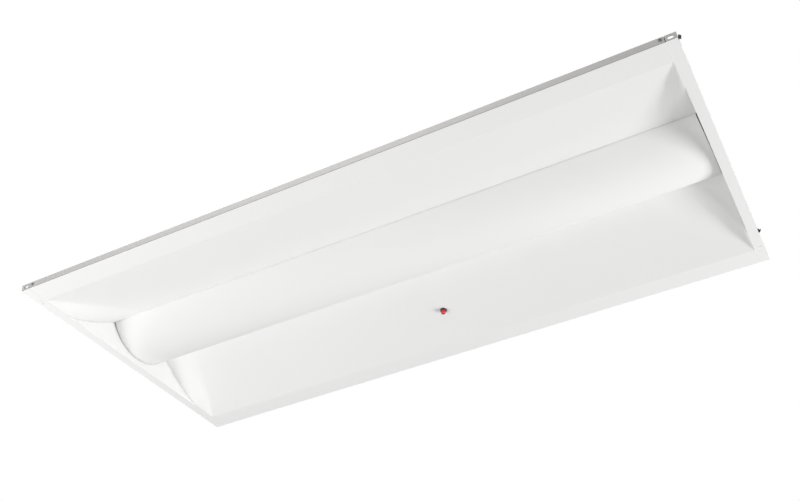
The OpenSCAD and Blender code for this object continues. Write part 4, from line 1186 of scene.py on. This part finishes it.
class TROFFER_OT_wiring(bpy.types.Operator):
    """Make the terminal block, the ground screw and all leads"""

    bl_idname = "troffer.wiring"
    bl_label = "Wiring"

    def execute(self, context):
        soften_all(context, (
            ("terminal_block", "white_plastic", "ivory_plastic", 0.0004),
            ("terminal_screws", "brass_screw", "brass_plate", 0.0002),
            ("ground_screw", "green_screw", "green_plate", 0.0003),
        ))
        paints = finishes(context)
        for node, colour in (
            ("live_lead", "black"), ("neutral_lead", "white"), ("ground_lead", "green"),
            ("board_leads", "red"), ("battery_leads", "yellow"), ("switch_leads", "violet"),
        ):
            wire_form(node, FIXTURE, paints[colour + "_wire"])
        return {"FINISHED"}


def area_lamp(name, power, size, place, aim, glossy):
    """A soft square lamp that the camera doesn't see. It shows in gloss only where glossy is true."""
    data = bpy.data.lights.new(name, "AREA")
    data.shape = "SQUARE"
    data.size = size
    data.energy = power
    lamp = bpy.data.objects.new(name, data)
    bpy.context.scene.collection.objects.link(lamp)
    lamp.location = place
    lamp.rotation_euler = (Vector(aim) - Vector(place)).to_track_quat("-Z", "Y").to_euler()
    lamp.visible_camera = False
    lamp.visible_glossy = glossy


def seen_white(tree):
    """1 for rays by which the camera, gloss or glass sees the surroundings, and 0 for soft light."""
    camera, glossy, transmission = (
        tree.node("ShaderNodeLightPath", output=output)
        for output in ("Is Camera Ray", "Is Glossy Ray", "Is Transmission Ray"))
    return camera.most(glossy).most(transmission)


class TROFFER_OT_stage(bpy.types.Operator):
    """Set up the camera, the lamps, the white surroundings and the floor"""

    bl_idname = "troffer.stage"
    bl_label = "Stage"

    def execute(self, context):
        s = context.scene.troffer_stage
        scene = context.scene
        data = bpy.data.cameras.new("Viewpoint")
        data.sensor_width = 36.0
        data.lens = s.focal_length
        data.clip_start = 0.05
        data.clip_end = 200.0
        camera = bpy.data.objects.new("Viewpoint", data)
        scene.collection.objects.link(camera)
        camera.location = s.camera_place
        camera.rotation_euler = Euler(s.camera_turn, "XYZ")
        scene.camera = camera
        scene.view_settings.view_transform = "Standard"

        world = bpy.data.worlds.new("White room")
        scene.world = world
        tree = ShaderTree(world)
        strength = s.ambient + (1.0 - s.ambient) * seen_white(tree)
        light = tree.node("ShaderNodeBackground", {}, {"Color": (1.0, 1.0, 1.0, 1.0), "Strength": strength})
        tree.node("ShaderNodeOutputWorld", {}, {"Surface": light})

        for lamp in (
            ("Key lamp", s.key_power, 2.2, (4.6, 1.0, -2.8), (0.0, 0.0, 0.0), True),
            ("Fill lamp", s.fill_power, 1.2, (-1.2, -1.0, -1.3), (-0.4, -0.1, 0.0), True),
            ("Corner lamp", s.corner_power, 0.5, (0.95, 1.15, -0.7), (0.55, 0.3, 0.0), False),
            ("Top lamp", s.top_power, 2.4, (-1.2, -1.6, 2.6), (0.0, 0.0, 0.05), True),
        ):
            area_lamp(*lamp)
        if s.show_floor:
            self.make_floor(context, s.floor_depth)
        return {"FINISHED"}

    def make_floor(self, context, depth):
        """A wide pale disc that glows to the camera and in gloss, and is plain grey to soft light."""
        radius, sides, glow_strength = 30.0, 96, 0.72
        finish = Finish("floor_paint")
        tone = finish.mix(finish.noise(0.8, 3.0), (0.43, 0.43, 0.43), (0.47, 0.47, 0.47))
        glow = finish.mix(seen_white(finish), (0.0, 0.0, 0.0), (1.0, 1.0, 1.0))
        material = finish.surface(
            base_color=tone, roughness=0.8, emission_color=glow, emission_strength=glow_strength)
        bm = bmesh.new()
        bmesh.ops.create_circle(bm, cap_ends=True, segments=sides, radius=radius)
        bmesh.ops.translate(bm, verts=bm.verts, vec=(0.0, 0.0, -depth))
        mesh = bpy.data.meshes.new("Floor")
        bm.to_mesh(mesh)
        bm.free()
        mesh.materials.append(material)
        floor = bpy.data.objects.new("Floor", mesh)
        context.scene.collection.objects.link(floor)


OPERATORS = (
    TROFFER_OT_reflectors,
    TROFFER_OT_end_plates,
    TROFFER_OT_grid_clips,
    TROFFER_OT_lens,
    TROFFER_OT_test_switch,
    TROFFER_OT_housing,
    TROFFER_OT_access,
    TROFFER_OT_light_boards,
    TROFFER_OT_driver,
    TROFFER_OT_battery,
    TROFFER_OT_wiring,
    TROFFER_OT_stage,
)


class TROFFER_PT_sidebar(bpy.types.Panel):
    """Lists the troffer's operators and sizes"""

    bl_idname = "TROFFER_PT_sidebar"
    bl_label = "Ceiling troffer"
    bl_space_type = "VIEW_3D"
    bl_region_type = "UI"
    bl_category = "Troffer"

    def draw(self, context):
        layout = self.layout
        for operator in OPERATORS:
            layout.operator(operator.bl_idname)
        for name, group in PROPERTY_GROUPS.items():
            box = layout.box()
            box.label(text=group.__doc__)
            values = getattr(context.scene, name)
            for field in group.__annotations__:
                box.prop(values, field)


CLASSES = (*PROPERTY_GROUPS.values(), *OPERATORS, TROFFER_PT_sidebar)


def register():
    for cls in CLASSES:
        bpy.utils.register_class(cls)
    for name, group in PROPERTY_GROUPS.items():
        setattr(bpy.types.Scene, name, PointerProperty(type=group))


def unregister():
    for name in PROPERTY_GROUPS:
        delattr(bpy.types.Scene, name)
    for cls in reversed(CLASSES):
        bpy.utils.unregister_class(cls)


def main():
    register()
    for operator in OPERATORS:
        group, name = operator.bl_idname.split(".")
        getattr(getattr(bpy.ops, group), name)()


if __name__ == "__main__":
    main()
